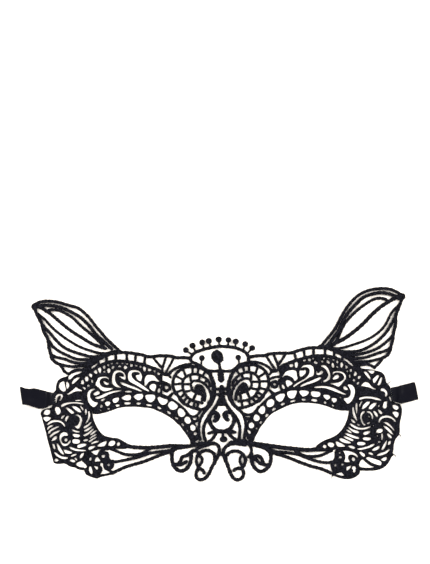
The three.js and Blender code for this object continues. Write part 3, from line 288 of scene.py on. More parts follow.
# Openings of the dense lace, one to a line, and the outline of each dense zone, in millimetres.
OPENINGS = {
    "right": """
31.92,-6.88 34.94,-5.17 37.45,-5.23 37.51,-6.71 35.91,-9.56 34.26,-9.90 32.66,-8.87
38.70,-4.37 40.81,-3.52 44.29,-3.40 44.40,-4.37 43.04,-7.68 41.44,-8.13 39.79,-7.68 38.76,-6.02
45.49,-4.20 46.34,-3.40 49.36,-3.40 51.41,-4.20 50.79,-5.63 49.36,-6.42 47.77,-7.05 46.51,-5.80
52.44,-4.37 53.01,-3.80 57.11,-4.20 58.03,-5.63 57.11,-6.94 55.06,-7.22 53.01,-6.77 52.33,-5.80
59.22,-6.25 60.36,-5.80 62.59,-6.02 63.44,-7.45 62.81,-8.25 61.39,-8.82 60.14,-7.68
64.13,-8.08 64.87,-7.68 66.69,-7.85 67.20,-8.87 66.69,-9.90 65.27,-10.41 64.24,-9.10
35.11,-11.50 36.14,-10.53 37.51,-10.53 37.51,-11.10 35.74,-12.07
40.47,-9.50 43.26,-8.82 43.61,-9.22 42.86,-9.67 41.04,-10.19
46.91,-8.65 47.65,-8.08 48.96,-8.25 49.48,-8.87 48.96,-9.10 47.31,-9.10
52.44,-9.10 53.01,-8.25 55.46,-8.36 55.97,-9.50 55.06,-9.79 52.84,-9.39
59.74,-10.30 60.14,-9.62 60.99,-10.07 60.99,-10.81 60.36,-11.10
64.35,-11.50 65.27,-11.78 65.44,-12.47 64.87,-12.47 64.41,-12.07
26.90,-10.98 27.70,-9.27 29.98,-7.91 31.58,-9.56 31.29,-11.72 29.41,-12.98 27.47,-12.75
22.17,-14.97 23.71,-12.86 25.14,-11.90 26.28,-13.43 26.16,-16.11 24.45,-17.03 22.91,-16.11
19.44,-19.13 19.89,-17.82 21.03,-16.80 22.91,-18.17 23.26,-19.70 22.17,-20.84 20.29,-20.84
16.87,-23.69 17.21,-22.16 18.75,-21.41 19.95,-22.73 19.89,-24.26 18.75,-25.01 17.44,-24.83
16.02,-25.97 16.64,-25.97 18.01,-27.11 17.78,-28.08 17.04,-28.08 16.47,-27.11
14.76,-29.96 15.50,-30.08 16.76,-31.10 16.64,-31.85 15.90,-31.67 15.16,-30.71
26.33,-18.39 26.90,-16.85 28.27,-16.80 28.04,-17.60 27.13,-18.56
30.15,-14.97 30.89,-13.43 32.38,-13.38 32.26,-14.00 30.89,-15.03
23.14,-21.98 23.71,-20.84 24.51,-21.13 24.28,-21.98 23.48,-22.50
20.86,-25.23 21.32,-24.66 22.00,-25.01 21.43,-25.52
58.25,9.99 58.14,10.62 59.05,11.13 60.19,10.96 61.62,9.82 62.47,8.28 63.16,6.52 63.33,4.63 63.16,3.04 61.73,2.07 60.19,1.39 59.39,1.44 59.68,2.24 61.28,3.04 62.07,4.29 62.30,5.55 61.62,7.31 60.82,8.74 59.85,9.54 59.00,10.05
55.40,7.48 55.69,7.77 56.03,6.52 57.00,6.34 57.80,7.31 58.25,7.77 59.00,7.60 59.22,6.97 58.77,6.17 57.34,5.55 55.92,5.49 55.46,6.06
58.03,1.27 58.43,1.61 58.65,1.16 58.31,0.82
68.57,-7.28 69.03,-7.05 69.83,-7.34 69.37,-7.79
40.01,10.85 40.41,11.47 41.84,11.70 42.24,10.85 41.84,10.05 40.41,10.05
43.21,11.87 43.49,12.61 44.46,12.90 44.92,11.87 44.69,10.05 44.00,9.37 43.32,9.88
47.82,13.53 48.34,14.32 49.36,14.44 49.48,13.53 48.56,13.18
50.62,13.93 51.19,14.67 52.21,14.55 52.33,13.53 51.19,13.41
53.07,14.72 53.64,15.35 54.21,14.84 53.87,14.21
54.04,12.50 54.32,13.13 55.06,13.41 55.46,12.73 56.09,12.39 55.69,11.70 54.66,11.99
58.03,13.18 58.71,13.75 59.45,13.13 58.94,12.50
59.17,15.07 59.62,15.75 60.36,15.35 60.14,14.55 59.45,14.44
61.28,13.30 61.90,13.70 62.81,12.79 62.99,11.99 62.42,11.87 61.56,12.50
61.90,14.95 62.59,15.29 62.93,14.67 62.19,14.38
64.64,14.32 65.44,14.67 65.78,13.98 64.92,13.70
64.13,11.70 64.64,12.39 65.32,11.70 65.55,10.05 65.15,9.25 64.35,10.05
66.86,13.13 67.43,13.70 67.89,12.90 67.72,12.10 67.09,12.27
66.75,10.05 67.37,10.62 67.89,9.94 67.49,9.31
69.26,11.30 69.54,12.73 70.11,12.61 70.74,11.30 70.34,10.05 69.71,9.42 69.31,10.05
71.99,9.65 72.16,11.30 72.96,11.08 73.99,10.28 72.96,9.42 72.39,8.97
74.61,8.45 74.96,9.37 75.64,9.02 75.64,7.60 75.24,7.20 74.67,7.60
72.68,7.60 73.19,8.11 73.59,7.43 73.07,6.80
74.10,5.38 74.67,5.72 74.73,3.95 74.21,3.61
76.84,5.38 77.46,7.43 78.09,7.03 78.66,6.00 77.86,4.98 77.06,4.75
79.12,3.95 80.09,4.98 80.83,4.24 80.09,3.27 79.29,3.15
76.27,2.53 76.84,3.15 77.52,2.53 77.24,1.78 76.44,1.90
78.60,0.70 79.29,1.50 79.97,1.10 79.52,0.19 78.77,0.07
35.91,3.95 36.54,4.98 37.79,7.03 39.62,8.00 42.07,8.23 43.49,8.00 44.18,7.03 44.29,4.98 44.92,3.55 44.46,2.87 43.49,2.01 43.04,1.90 42.64,2.92 41.84,3.95 40.41,4.75 38.76,5.32 37.16,4.98 36.37,3.84
37.91,1.73 38.59,2.53 40.01,2.30 41.04,1.50 42.07,0.70 41.04,-0.32 39.79,-0.72 39.39,-1.75 38.59,-0.95 38.19,0.47
35.63,-0.32 36.37,-0.10 37.34,-1.52 37.34,-2.55 36.54,-2.55 35.85,-1.52
45.89,7.83 46.91,8.00 48.17,7.83 49.19,8.45 49.59,7.43 49.19,6.17 47.77,4.98 46.74,4.18 46.06,4.58 45.77,6.17
46.74,9.65 48.17,10.85 50.62,11.30 52.21,11.08 53.64,10.05 54.04,8.23 54.04,5.60 53.24,4.75 51.81,4.35 50.39,3.32 48.56,2.13 46.51,1.10 44.46,-0.32 42.86,-1.52 42.12,-1.35 42.86,-0.32 44.92,1.10 47.31,2.30 48.96,3.32 50.39,4.58 51.41,6.00 51.76,7.83 51.19,9.25 49.76,10.05 48.17,9.88 47.14,9.37
46.34,-1.24 46.91,-0.32 49.36,0.87 52.61,2.13 55.06,3.15 57.29,4.24 58.25,3.95 57.91,3.15 55.46,1.73 52.61,0.70 49.76,-0.10 47.31,-1.24 46.51,-1.46
64.75,3.32 65.04,3.95 66.29,4.98 67.72,5.60 68.51,4.58 67.89,3.55 66.29,2.92 65.04,2.75
64.75,5.77 65.04,7.03 66.86,7.60 69.31,7.48 71.36,6.40 72.39,4.58 72.16,2.92 70.97,1.73 69.31,-0.32 68.12,-1.35 66.06,-0.32 64.01,0.30 63.16,0.70 65.66,0.70 68.51,1.10 70.11,2.13 71.25,2.98 71.42,4.18 70.85,5.49 69.71,6.52 68.12,6.97 66.46,6.86 65.44,6.29 65.04,5.60
54.04,-1.64 55.06,-1.18 57.51,-0.89 60.76,-0.89 63.61,-1.41 66.46,-2.55 69.31,-4.14 71.76,-5.23 72.39,-5.80 70.57,-5.63 67.26,-4.43 64.01,-3.17 60.76,-2.03 57.51,-1.81 55.46,-2.03
70.74,-1.98 71.14,-1.12 71.99,-1.12 73.42,-2.55 73.19,-3.23 71.54,-2.95
73.47,0.07 75.18,-0.04 76.44,-0.89 77.35,-2.60 77.46,-4.88 76.89,-7.16 75.64,-9.44 74.04,-10.81 73.07,-11.04 72.05,-9.62 70.97,-8.65 71.36,-7.68 73.64,-7.68 74.90,-6.25 75.18,-3.97 74.39,-1.98 73.36,-0.78
84.70,-17.88 85.39,-17.94 85.96,-18.79 85.33,-18.68
89.95,-29.00 90.35,-28.82 90.63,-29.51 90.23,-29.91
87.78,-23.12 88.24,-23.07 88.24,-23.81 87.78,-23.81
79.40,4.81 80.71,4.86 80.43,3.55 79.52,3.04 79.17,3.55
82.14,7.43 83.96,7.20 86.30,3.84 86.13,2.64 85.22,3.55 83.45,5.66
84.47,7.88 88.35,7.88 88.58,7.43 87.84,6.23 86.81,6.17 85.50,7.20
87.55,3.04 89.38,4.58 90.17,5.38 91.09,5.38 91.09,4.35 89.66,2.01 88.58,0.70 87.84,1.10
90.17,-0.04 91.20,1.73 92.23,4.06 93.02,4.06 92.51,1.50 92.00,0.19 90.92,-0.50
80.60,-0.84 83.16,1.50 84.99,0.99 87.32,-1.64 89.66,-2.89 88.07,-2.78 85.73,-1.64 82.88,-1.01
92.00,-3.46 92.51,-2.15 94.05,-2.38 95.59,-3.97 95.99,-5.74 95.36,-7.05 94.56,-6.82 94.91,-5.34 94.05,-3.86 92.74,-3.74
79.69,-8.59 80.03,-7.56 83.45,-6.88 87.04,-7.05 90.69,-7.73 92.74,-9.16 90.17,-8.87 86.53,-7.85 82.88,-7.85 80.60,-8.70
79.69,-12.24 81.11,-9.67 81.85,-9.67 80.83,-11.21 80.20,-13.04
81.34,-13.95 82.14,-11.72 84.19,-9.90 86.13,-9.67 85.73,-10.93 83.68,-13.04 82.14,-14.06
85.22,-13.55 86.30,-11.72 88.58,-10.41 89.89,-10.53 89.38,-11.72 87.04,-14.06 85.73,-14.18
90.57,-11.90 91.43,-11.72 91.31,-12.92 90.80,-13.04
93.25,-12.52 94.05,-9.90 95.99,-9.50 95.59,-11.21 95.59,-13.04 94.56,-13.78 93.54,-13.43
96.79,-7.05 97.41,-6.82 98.21,-9.16 97.93,-9.67 97.13,-8.36
98.95,-11.72 99.98,-11.55 102.09,-12.52 102.32,-13.78 101.29,-14.57 99.98,-14.06 98.95,-13.04
98.84,-15.60 100.55,-15.37 102.32,-16.11 102.32,-17.71 101.29,-19.13 100.26,-18.22 98.95,-16.57
80.43,-18.74 80.83,-16.63 81.85,-15.37 83.16,-15.20 82.88,-16.11 81.62,-17.14 81.11,-18.74 81.62,-20.79 82.37,-22.33 83.45,-22.84 83.16,-23.41 81.85,-22.84 80.83,-20.79
84.19,-15.37 85.73,-15.20 87.32,-16.91 87.84,-18.74 87.67,-19.99 87.04,-19.48 86.93,-17.94 86.13,-16.40 84.47,-15.89
84.19,-22.33 85.50,-21.30 86.13,-21.59 85.22,-22.61
87.84,-15.09 88.86,-15.20 90.40,-17.14 90.57,-18.28 89.66,-18.45 88.35,-16.63
90.40,-14.18 91.43,-14.57 93.02,-16.11 92.74,-16.91 92.00,-16.91 90.92,-15.37
90.80,-21.59 91.43,-19.48 93.02,-18.11 95.36,-17.54 97.70,-18.11 99.98,-19.76 100.78,-21.19 100.26,-21.30 98.44,-19.48 96.39,-18.74 94.05,-18.85 92.51,-19.76 91.43,-21.70
93.77,-21.59 95.36,-21.30 97.93,-23.41 99.47,-25.46 99.92,-26.37 99.24,-25.97 97.41,-24.04 95.36,-22.61
93.54,-23.47 95.36,-23.98 97.41,-25.69 98.95,-28.03 99.41,-28.65 97.93,-28.03 95.87,-25.97 94.05,-24.32
95.59,-28.03 96.62,-28.03 97.93,-29.34 98.55,-30.36 97.93,-30.76 96.39,-29.51
89.38,-27.29 90.17,-25.46 92.74,-25.18 93.54,-26.49 92.23,-27.51 90.40,-27.51
92.51,-28.14 93.25,-28.03 93.37,-31.16 92.74,-31.96 92.51,-30.36
90.57,-32.47 92.00,-32.30 92.00,-33.10 90.80,-33.27
82.14,-27.51 83.96,-26.60 86.01,-26.60 86.01,-27.51 83.45,-28.82 82.31,-28.54
81.74,-30.88 82.65,-30.02 86.30,-30.25 86.64,-31.39 84.47,-31.96 82.37,-31.56
78.49,-33.78 79.17,-32.81 81.17,-32.70 83.16,-33.10 83.68,-34.01 81.85,-34.70 79.29,-34.64
78.77,-36.46 81.34,-36.23 84.99,-35.32 88.07,-33.67 88.86,-34.24 87.04,-35.55 84.47,-36.46 80.83,-37.26 79.00,-37.09
87.04,-37.37 88.58,-36.23 90.92,-35.04 91.71,-35.32 91.20,-36.58 89.15,-37.66 87.55,-37.77
92.51,-37.09 93.54,-34.81 95.08,-32.47 95.59,-31.67 95.59,-33.21 94.56,-35.84 93.25,-37.49
96.27,-34.35 96.62,-32.70 97.70,-31.96 98.04,-32.99 97.41,-34.18 96.62,-34.52
89.66,-40.45 91.71,-39.31 94.28,-38.57 97.13,-36.80 97.53,-37.09 95.87,-39.03 92.74,-40.34 90.17,-40.68
79.80,-38.69 81.11,-38.40 83.16,-39.94 83.16,-41.02 82.14,-41.25 80.60,-39.71
84.99,-38.91 86.30,-38.69 87.84,-39.71 87.55,-40.22 85.73,-39.71
83.68,-42.05 84.70,-41.25 88.07,-42.28 92.00,-43.59 92.74,-44.90 92.23,-46.21 90.69,-45.92 87.55,-44.90 84.70,-43.07
79.63,-45.92 80.60,-43.59 81.85,-42.56 82.88,-43.87 85.73,-46.21 88.58,-46.95 87.04,-47.46 82.37,-47.46 80.20,-46.95
92.23,-42.79 93.77,-41.76 95.59,-41.25 95.59,-42.56 94.56,-43.70 92.74,-43.36
77.98,-10.70 78.72,-10.58 78.77,-13.04 78.60,-17.03 78.15,-16.28 77.92,-13.55
75.92,-13.09 76.67,-12.86 76.95,-14.97 77.35,-16.63 78.32,-19.36 78.77,-20.79 78.38,-20.62 77.12,-19.25 76.15,-16.97
75.07,-19.99 75.64,-19.76 77.18,-21.19 77.69,-21.87 77.18,-22.10 75.87,-21.19
78.38,-22.44 79.17,-22.55 80.03,-23.01 79.91,-23.47 78.95,-23.24
74.44,-22.50 74.96,-22.10 76.72,-23.35 79.29,-24.61 82.37,-24.83 86.53,-23.64 86.30,-24.44 83.16,-25.58 79.29,-25.63 77.18,-24.83 75.18,-23.52
73.30,-24.26 73.87,-24.15 75.87,-25.69 78.49,-26.32 79.86,-27.11 79.57,-27.86 77.18,-27.40 74.96,-26.09
72.56,-26.03 73.02,-25.58 74.50,-26.43 75.64,-27.57 75.18,-27.86 73.64,-26.94
71.65,-27.97 72.33,-27.57 74.50,-28.37 77.18,-29.39 79.80,-30.31 79.69,-31.10 77.58,-30.76 74.96,-29.91 72.79,-28.77
70.91,-29.74 71.48,-29.28 73.64,-30.14 76.27,-31.22 76.72,-31.96 76.04,-32.36 74.10,-31.56 71.88,-30.48
68.46,-31.50 68.80,-30.65 70.17,-30.65 72.33,-31.67 74.50,-32.59 75.30,-33.27 74.50,-33.67 71.88,-33.33 69.71,-32.53
66.29,-32.81 66.86,-32.30 68.40,-33.04 70.57,-34.13 71.88,-35.09 71.48,-35.55 68.80,-35.44 67.43,-35.38
73.42,-35.21 74.10,-34.81 75.64,-34.92 77.18,-35.66 77.52,-36.35 76.72,-36.69 74.96,-36.12
61.73,-33.90 62.93,-33.04 64.87,-33.27 65.66,-34.35 65.32,-35.44 63.78,-35.89 62.24,-34.98
59.11,-35.21 59.85,-34.35 60.93,-34.64 61.16,-35.89 60.25,-36.35 59.28,-35.89
70.34,-37.60 71.88,-37.72 74.50,-38.06 76.72,-38.74 78.49,-40.05 79.12,-41.14 78.72,-41.82 77.81,-40.68 76.27,-39.94 74.50,-39.94 73.64,-40.68 73.42,-42.22 74.10,-43.36 74.50,-44.33 72.79,-44.33 71.14,-43.99 71.88,-42.45 72.11,-40.68 71.48,-38.97 70.57,-38.06
68.29,-41.36 69.26,-40.85 69.94,-41.48 69.48,-42.11 68.63,-41.93
68.17,-38.97 69.03,-38.69 69.31,-39.31 68.40,-39.54
75.64,-42.45 76.27,-41.36 77.18,-42.05 77.52,-43.13 76.95,-43.76 75.87,-43.36
65.55,-46.21 66.18,-45.41 66.80,-46.04 66.41,-46.84
69.60,-45.70 70.34,-45.24 71.19,-45.64 70.34,-46.15
72.56,-48.83 72.79,-47.29 74.10,-46.61 75.18,-46.21 74.96,-47.52 74.10,-48.15 73.19,-49.23
75.64,-48.15 76.27,-46.61 77.35,-46.61 78.03,-47.75 77.58,-48.60 77.81,-49.46 76.95,-50.43 76.21,-49.69 76.61,-48.83
66.41,-51.00 67.94,-50.60 69.71,-50.14 70.34,-50.77 71.25,-51.91 70.17,-52.02 67.94,-51.45
""",
    "left": """
-85.89,3.00 -85.89,4.43 -84.94,5.61 -82.80,6.56 -79.48,7.51 -77.34,7.66 -79.48,6.33 -82.33,5.38 -84.23,3.48 -85.18,2.76
-83.99,0.15 -83.75,1.34 -82.80,2.76 -80.90,3.95 -79.24,4.33 -79.95,3.24 -81.61,1.81 -83.04,0.39
-91.35,-0.80 -90.64,0.86 -88.98,1.96 -88.26,1.58 -88.03,-0.32 -87.31,-2.94 -87.79,-3.89 -89.21,-4.03 -90.64,-2.94 -91.26,-1.75
-87.17,1.10 -86.60,1.58 -85.65,0.39 -85.41,-0.80 -86.13,-2.22 -86.84,-2.70 -87.17,-1.27
-86.84,-5.64 -85.18,-4.60 -83.28,-3.17 -81.61,-1.42 -80.43,-2.46 -78.05,-3.41 -78.29,-3.89 -80.90,-3.65 -82.80,-4.22 -84.70,-5.31 -86.13,-5.93
-93.49,-9.82 -93.49,-8.16 -92.78,-6.26 -91.35,-5.31 -89.45,-5.64 -89.07,-6.97 -89.69,-8.40 -90.50,-9.35 -90.97,-9.11 -90.16,-7.69 -90.16,-6.26 -91.35,-6.40 -92.21,-7.45 -92.54,-9.11 -92.68,-10.39 -93.25,-10.39
-82.09,-8.97 -78.53,-8.68 -78.43,-9.25 -81.85,-9.44
-90.16,-12.67 -89.69,-11.49 -87.55,-10.54 -84.23,-10.06 -81.38,-10.06 -78.53,-10.54 -77.34,-10.77 -77.58,-11.34 -80.90,-10.77 -83.75,-10.63 -86.60,-11.30 -88.50,-12.25 -89.45,-12.72
-87.55,-13.39 -86.60,-13.05 -84.46,-14.34 -82.56,-16.00 -82.80,-16.47 -83.99,-16.85 -84.94,-16.00 -86.36,-14.57
-84.13,-12.67 -83.28,-12.20 -81.38,-12.67 -79.71,-13.86 -78.53,-15.52 -78.76,-16.09 -80.43,-15.52 -82.09,-14.34
-79.48,-12.29 -78.76,-12.20 -77.34,-14.10 -77.58,-14.91 -78.29,-14.10
-93.49,-15.05 -93.49,-13.62 -93.01,-12.77 -91.35,-12.91 -90.16,-15.05 -90.64,-16.47 -91.83,-17.42 -92.54,-16.95 -93.01,-15.76
-100.14,-16.71 -99.43,-15.05 -98.24,-14.34 -96.58,-14.48 -96.20,-15.52 -96.58,-16.95 -98.00,-17.42 -99.43,-17.19
-100.28,-18.85 -98.95,-18.37 -96.10,-18.61 -95.86,-19.32 -97.05,-20.51 -98.48,-21.22 -99.19,-20.75 -100.14,-19.80
-90.16,-19.32 -89.69,-18.37 -88.26,-17.42 -87.79,-17.66 -88.98,-19.09 -89.69,-19.80
-87.79,-20.27 -87.55,-19.09 -86.60,-17.90 -85.41,-17.90 -85.89,-18.85 -86.60,-19.80 -86.84,-21.22 -87.55,-20.99
-82.09,-17.42 -80.43,-16.95 -78.76,-18.37 -78.05,-20.27 -78.53,-22.65 -79.48,-24.55 -80.43,-25.26 -81.85,-24.55 -82.33,-23.84 -80.90,-23.60 -79.71,-22.17 -79.24,-20.27 -79.71,-18.61 -80.90,-17.80
-84.23,-25.59 -83.28,-25.50 -81.85,-26.35 -79.71,-26.69 -79.48,-27.26 -81.38,-27.26 -83.28,-26.54
-83.51,-28.35 -82.33,-28.11 -79.48,-28.59 -79.24,-29.54 -80.43,-30.15 -82.33,-30.01 -83.28,-29.30
-83.75,-32.15 -83.28,-31.20 -80.43,-31.29 -79.24,-31.91 -79.48,-33.34 -80.90,-33.81 -83.51,-33.57
-81.14,-35.47 -80.43,-34.52 -78.05,-33.81 -75.68,-33.67 -75.77,-34.76 -78.05,-35.71 -80.19,-36.33
-85.65,-35.71 -84.70,-35.47 -82.80,-36.42 -79.95,-37.14 -75.91,-37.37 -75.91,-37.94 -79.48,-38.04 -82.33,-37.66 -84.46,-36.76
-98.24,-23.12 -97.53,-21.94 -95.63,-20.65 -93.73,-20.18 -90.88,-20.51 -88.98,-21.70 -87.79,-23.36 -87.93,-24.31 -88.60,-23.60 -89.93,-21.98 -91.83,-21.27 -94.20,-21.32 -96.10,-22.17 -97.53,-23.17
-98.10,-25.74 -97.76,-24.55 -96.10,-23.36 -94.30,-22.89 -94.68,-23.60 -96.34,-24.55 -97.53,-25.78
-97.43,-28.11 -97.29,-26.92 -95.63,-25.50 -93.25,-24.31 -91.11,-23.69 -91.35,-24.36 -93.73,-25.31 -95.86,-26.73 -96.81,-28.21
-96.58,-30.01 -96.10,-28.82 -94.20,-27.40 -91.83,-26.35 -90.50,-26.07 -91.11,-26.97 -93.01,-27.92 -94.68,-28.92 -96.10,-30.30
-95.63,-32.15 -94.68,-30.72 -93.25,-29.39 -92.40,-29.54 -92.54,-30.96 -93.73,-31.67 -95.15,-32.39
-90.88,-29.30 -90.16,-28.11 -88.50,-27.02 -86.84,-27.64 -86.13,-28.82 -86.60,-29.30 -88.26,-29.06 -89.69,-30.01 -90.16,-31.67 -89.45,-33.34 -88.03,-34.05 -86.36,-33.57 -85.18,-32.15 -84.70,-31.67 -84.46,-32.62 -85.41,-33.81 -86.84,-34.90 -88.50,-35.09 -89.93,-34.05 -90.78,-32.15 -90.97,-30.72
-88.12,-31.67 -87.55,-30.82 -86.60,-30.96 -86.51,-31.91 -87.08,-32.53 -87.93,-32.39
-95.15,-34.05 -94.20,-33.81 -93.73,-35.24 -93.35,-36.90 -93.96,-36.90 -94.68,-35.71
-92.68,-33.81 -92.06,-33.57 -90.64,-35.95 -89.21,-38.32 -88.26,-39.75 -88.98,-39.99 -90.64,-38.80 -91.83,-36.90
-88.74,-37.37 -87.79,-37.14 -85.89,-37.85 -83.75,-38.56 -83.99,-39.27 -85.89,-39.51 -87.55,-39.18 -88.41,-38.32
-94.30,-38.80 -93.49,-38.56 -91.83,-39.99 -89.93,-41.17 -86.13,-41.41 -86.22,-42.22 -88.03,-42.60 -90.40,-42.12 -92.78,-40.70
-93.73,-43.55 -93.49,-42.50 -92.54,-42.22 -91.59,-43.17 -91.83,-43.64 -93.01,-43.93
-84.70,-40.94 -83.28,-39.84 -81.28,-39.51 -81.14,-40.03 -82.80,-40.75 -84.23,-41.32
-85.18,-43.55 -84.46,-42.69 -82.33,-43.07 -81.95,-43.93 -82.56,-44.40 -84.23,-44.02
-82.56,-42.12 -81.85,-41.74 -80.90,-42.84 -81.14,-43.36 -82.09,-42.74
-81.61,-45.45 -80.66,-44.50 -79.24,-44.02 -78.29,-43.31 -77.34,-44.97 -75.77,-46.16 -76.15,-46.87 -78.05,-47.35 -79.95,-46.87 -81.14,-46.16
-79.48,-41.41 -78.76,-39.84 -77.58,-39.04 -76.86,-39.18 -77.58,-40.70 -78.53,-41.89 -79.24,-42.12
-76.39,-14.10 -75.68,-13.86 -75.44,-15.52 -75.68,-17.19 -76.25,-17.42 -76.48,-16.00
-74.73,-15.52 -74.01,-15.05 -73.54,-16.95 -73.78,-19.32 -75.20,-21.94 -76.15,-22.41 -75.91,-21.70 -74.82,-19.80 -74.49,-17.66
-77.34,-24.55 -76.63,-23.84 -74.73,-22.89 -73.06,-21.22 -72.78,-21.79 -74.25,-23.60 -76.15,-24.83 -77.10,-25.07
-76.86,-26.21 -75.68,-25.59 -73.78,-24.55 -72.45,-23.50 -72.30,-24.31 -73.78,-25.64 -75.44,-26.59 -76.63,-26.73
-77.58,-29.06 -76.15,-28.35 -73.78,-26.92 -71.88,-25.02 -71.45,-25.50 -72.83,-27.21 -74.73,-28.63 -76.63,-29.58
-77.58,-31.91 -76.39,-31.20 -74.73,-31.20 -74.73,-31.91 -76.63,-32.43
-73.54,-28.59 -71.88,-27.16 -69.98,-25.97 -69.88,-26.73 -71.64,-27.97 -73.06,-29.01
-73.78,-30.72 -72.11,-29.30 -69.98,-27.97 -69.88,-28.78 -71.88,-29.92 -73.30,-30.91
-74.49,-32.62 -73.30,-31.58 -71.64,-30.72 -69.88,-29.68 -69.79,-30.34 -71.88,-31.48 -73.78,-32.96
-72.92,-33.81 -71.88,-32.86 -69.88,-31.96 -69.69,-32.62 -71.64,-33.67 -72.59,-34.05
-74.63,-36.66 -74.01,-35.71 -71.88,-35.00 -70.59,-35.09 -70.83,-35.81 -72.83,-36.76 -74.25,-37.18
-76.53,3.24 -76.15,4.19 -75.20,4.66 -74.63,3.71 -74.49,2.53 -75.20,1.58 -76.15,2.05
-74.16,5.61 -73.54,6.42 -72.59,6.09 -72.35,4.90 -72.83,3.86 -73.78,4.66
-75.30,-0.80 -74.82,-0.23 -73.87,-0.32 -74.01,-1.08 -74.82,-1.32
-77.81,-1.51 -77.10,-1.42 -76.06,-2.13 -76.39,-2.94 -77.34,-2.46
-79.00,0.39 -78.29,1.10 -77.34,2.05 -77.29,1.10 -78.05,0.20
-72.83,1.10 -72.59,2.53 -71.97,2.29 -71.97,0.86
-72.89,9.32 -72.28,10.14 -70.86,11.16 -69.43,12.05 -68.95,11.77 -69.76,10.95 -71.27,9.94 -72.49,9.04
-71.80,7.29 -70.86,8.23 -70.04,8.39 -69.52,6.88 -69.64,6.07 -70.66,6.27
-69.03,8.71 -68.62,9.45 -67.60,9.61 -67.19,8.71 -67.48,6.88 -67.89,6.35 -68.54,7.09
-66.26,9.73 -65.85,10.55 -65.04,10.67 -64.87,9.73 -65.28,8.80 -65.97,9.04
-63.82,11.16 -63.53,11.77 -62.72,11.65 -62.59,10.83 -63.33,10.42
-63.82,8.10 -63.41,9.04 -62.51,9.20 -61.90,8.31 -62.11,7.29 -62.84,6.35 -63.41,6.68
-65.97,7.37 -65.32,7.90 -64.75,7.29 -65.36,6.60
-61.29,9.32 -60.68,10.34 -59.74,10.42 -59.87,9.53 -60.56,8.71
-61.58,12.22 -60.44,12.38 -60.52,11.56 -61.45,11.56
-58.77,12.38 -58.24,12.99 -57.55,12.79 -57.63,11.89 -58.36,11.65
-57.42,10.34 -56.81,10.95 -56.00,10.42 -56.08,9.85 -57.14,9.94
-55.59,12.38 -54.74,12.66 -54.49,11.89 -55.35,11.69
-54.37,9.94 -53.96,10.55 -52.94,10.55 -52.42,9.73 -52.82,9.04 -53.56,8.71 -54.17,9.12
-53.23,11.97 -52.74,12.46 -51.85,12.05 -51.93,11.36 -52.74,11.36
-50.79,11.16 -50.50,11.77 -49.69,11.77 -49.16,10.95 -49.69,10.14 -50.38,10.14
-48.06,11.16 -47.37,11.56 -46.55,11.08 -46.72,10.34 -47.65,10.42
-45.49,10.14 -45.09,10.75 -44.39,10.55 -44.39,9.73 -45.01,9.45
-43.38,9.73 -42.97,10.55 -42.16,10.55 -41.75,9.53 -41.95,7.70 -42.56,7.17 -43.17,8.31
-40.73,8.71 -40.32,9.61 -39.31,9.20 -38.69,8.39 -38.98,7.70 -40.12,7.57
-37.27,7.49 -36.94,8.23 -36.37,7.98 -36.25,7.17 -36.78,6.88
-35.32,6.27 -34.83,6.88 -33.61,6.68 -33.28,6.07 -34.01,5.38 -34.83,5.54
-74.12,5.86 -73.51,6.47 -72.61,5.95 -72.49,5.05 -72.89,4.03 -73.71,4.85
-78.80,1.39 -77.98,2.61 -77.37,2.20 -76.97,0.77 -77.58,-0.04 -78.39,0.37
-72.89,2.20 -72.37,2.77 -72.04,1.79 -72.24,0.90 -72.77,1.10
-62.84,3.42 -64.34,4.60 -66.38,4.44 -68.21,4.07 -69.11,3.46 -69.52,2.20 -70.25,0.98 -70.45,-0.45 -69.43,-1.26 -68.42,-1.87 -67.40,-3.17 -65.36,-3.91 -62.92,-3.42 -60.40,-2.48 -60.68,-1.99 -63.33,-2.03 -65.77,-1.79 -67.32,-0.98 -68.09,0.37 -68.25,1.59 -67.85,2.65 -66.79,3.58 -64.75,3.83 -63.41,3.26 -62.92,2.61
-65.97,1.18 -65.69,1.87 -64.96,1.59 -63.94,0.77 -63.00,0.98 -62.92,0.16 -63.94,-0.16 -64.96,0.16
-60.97,3.01 -60.68,5.46 -59.66,7.29 -58.03,8.10 -56.00,7.98 -54.37,6.88 -53.47,5.46 -53.23,3.83 -53.56,2.69 -54.57,3.01 -56.00,3.83 -57.02,4.64 -56.41,4.85 -54.78,4.24 -54.17,4.44 -54.37,5.86 -55.39,6.84 -57.02,7.13 -58.44,6.64 -59.26,5.46 -59.46,3.62 -59.26,1.79 -58.24,-0.04 -56.81,-1.26 -55.67,-1.87 -57.22,-1.67 -59.26,-1.06 -60.68,0.16 -61.09,1.39
-51.93,3.42 -51.93,5.86 -51.32,7.29 -49.89,8.10 -47.86,8.31 -45.82,7.82 -44.39,6.27 -43.91,4.44 -44.19,2.81 -44.68,1.79 -45.82,2.20 -47.04,3.42 -47.65,4.85 -47.04,5.46 -45.62,5.46 -45.01,6.27 -46.23,7.04 -48.06,7.25 -49.48,6.84 -50.05,5.66 -49.69,4.03 -48.26,2.40 -46.23,1.18 -43.78,-0.45 -41.34,-2.28 -39.71,-3.70 -40.32,-4.11 -42.56,-3.09 -45.01,-1.67 -47.45,-0.24 -49.89,0.98 -51.52,2.00
-56.41,1.18 -55.59,1.39 -53.56,0.57 -51.11,-0.45 -48.26,-1.46 -45.82,-2.69 -43.99,-3.70 -44.60,-4.11 -47.04,-3.09 -49.89,-2.12 -52.74,-1.10 -55.18,-0.08 -56.08,0.53
-42.56,-0.24 -42.48,2.20 -41.95,4.44 -40.93,5.46 -38.90,5.54 -37.07,5.05 -36.05,3.83 -35.03,2.61 -34.01,1.79 -34.83,1.47 -36.46,2.20 -38.49,2.28 -40.12,1.59 -40.93,0.37 -41.54,-0.57 -42.36,-0.85
-39.92,-1.46 -39.10,-0.24 -37.68,0.49 -36.25,0.16 -35.84,-1.06 -36.25,-2.69 -36.86,-4.11 -38.08,-3.50 -39.31,-2.48
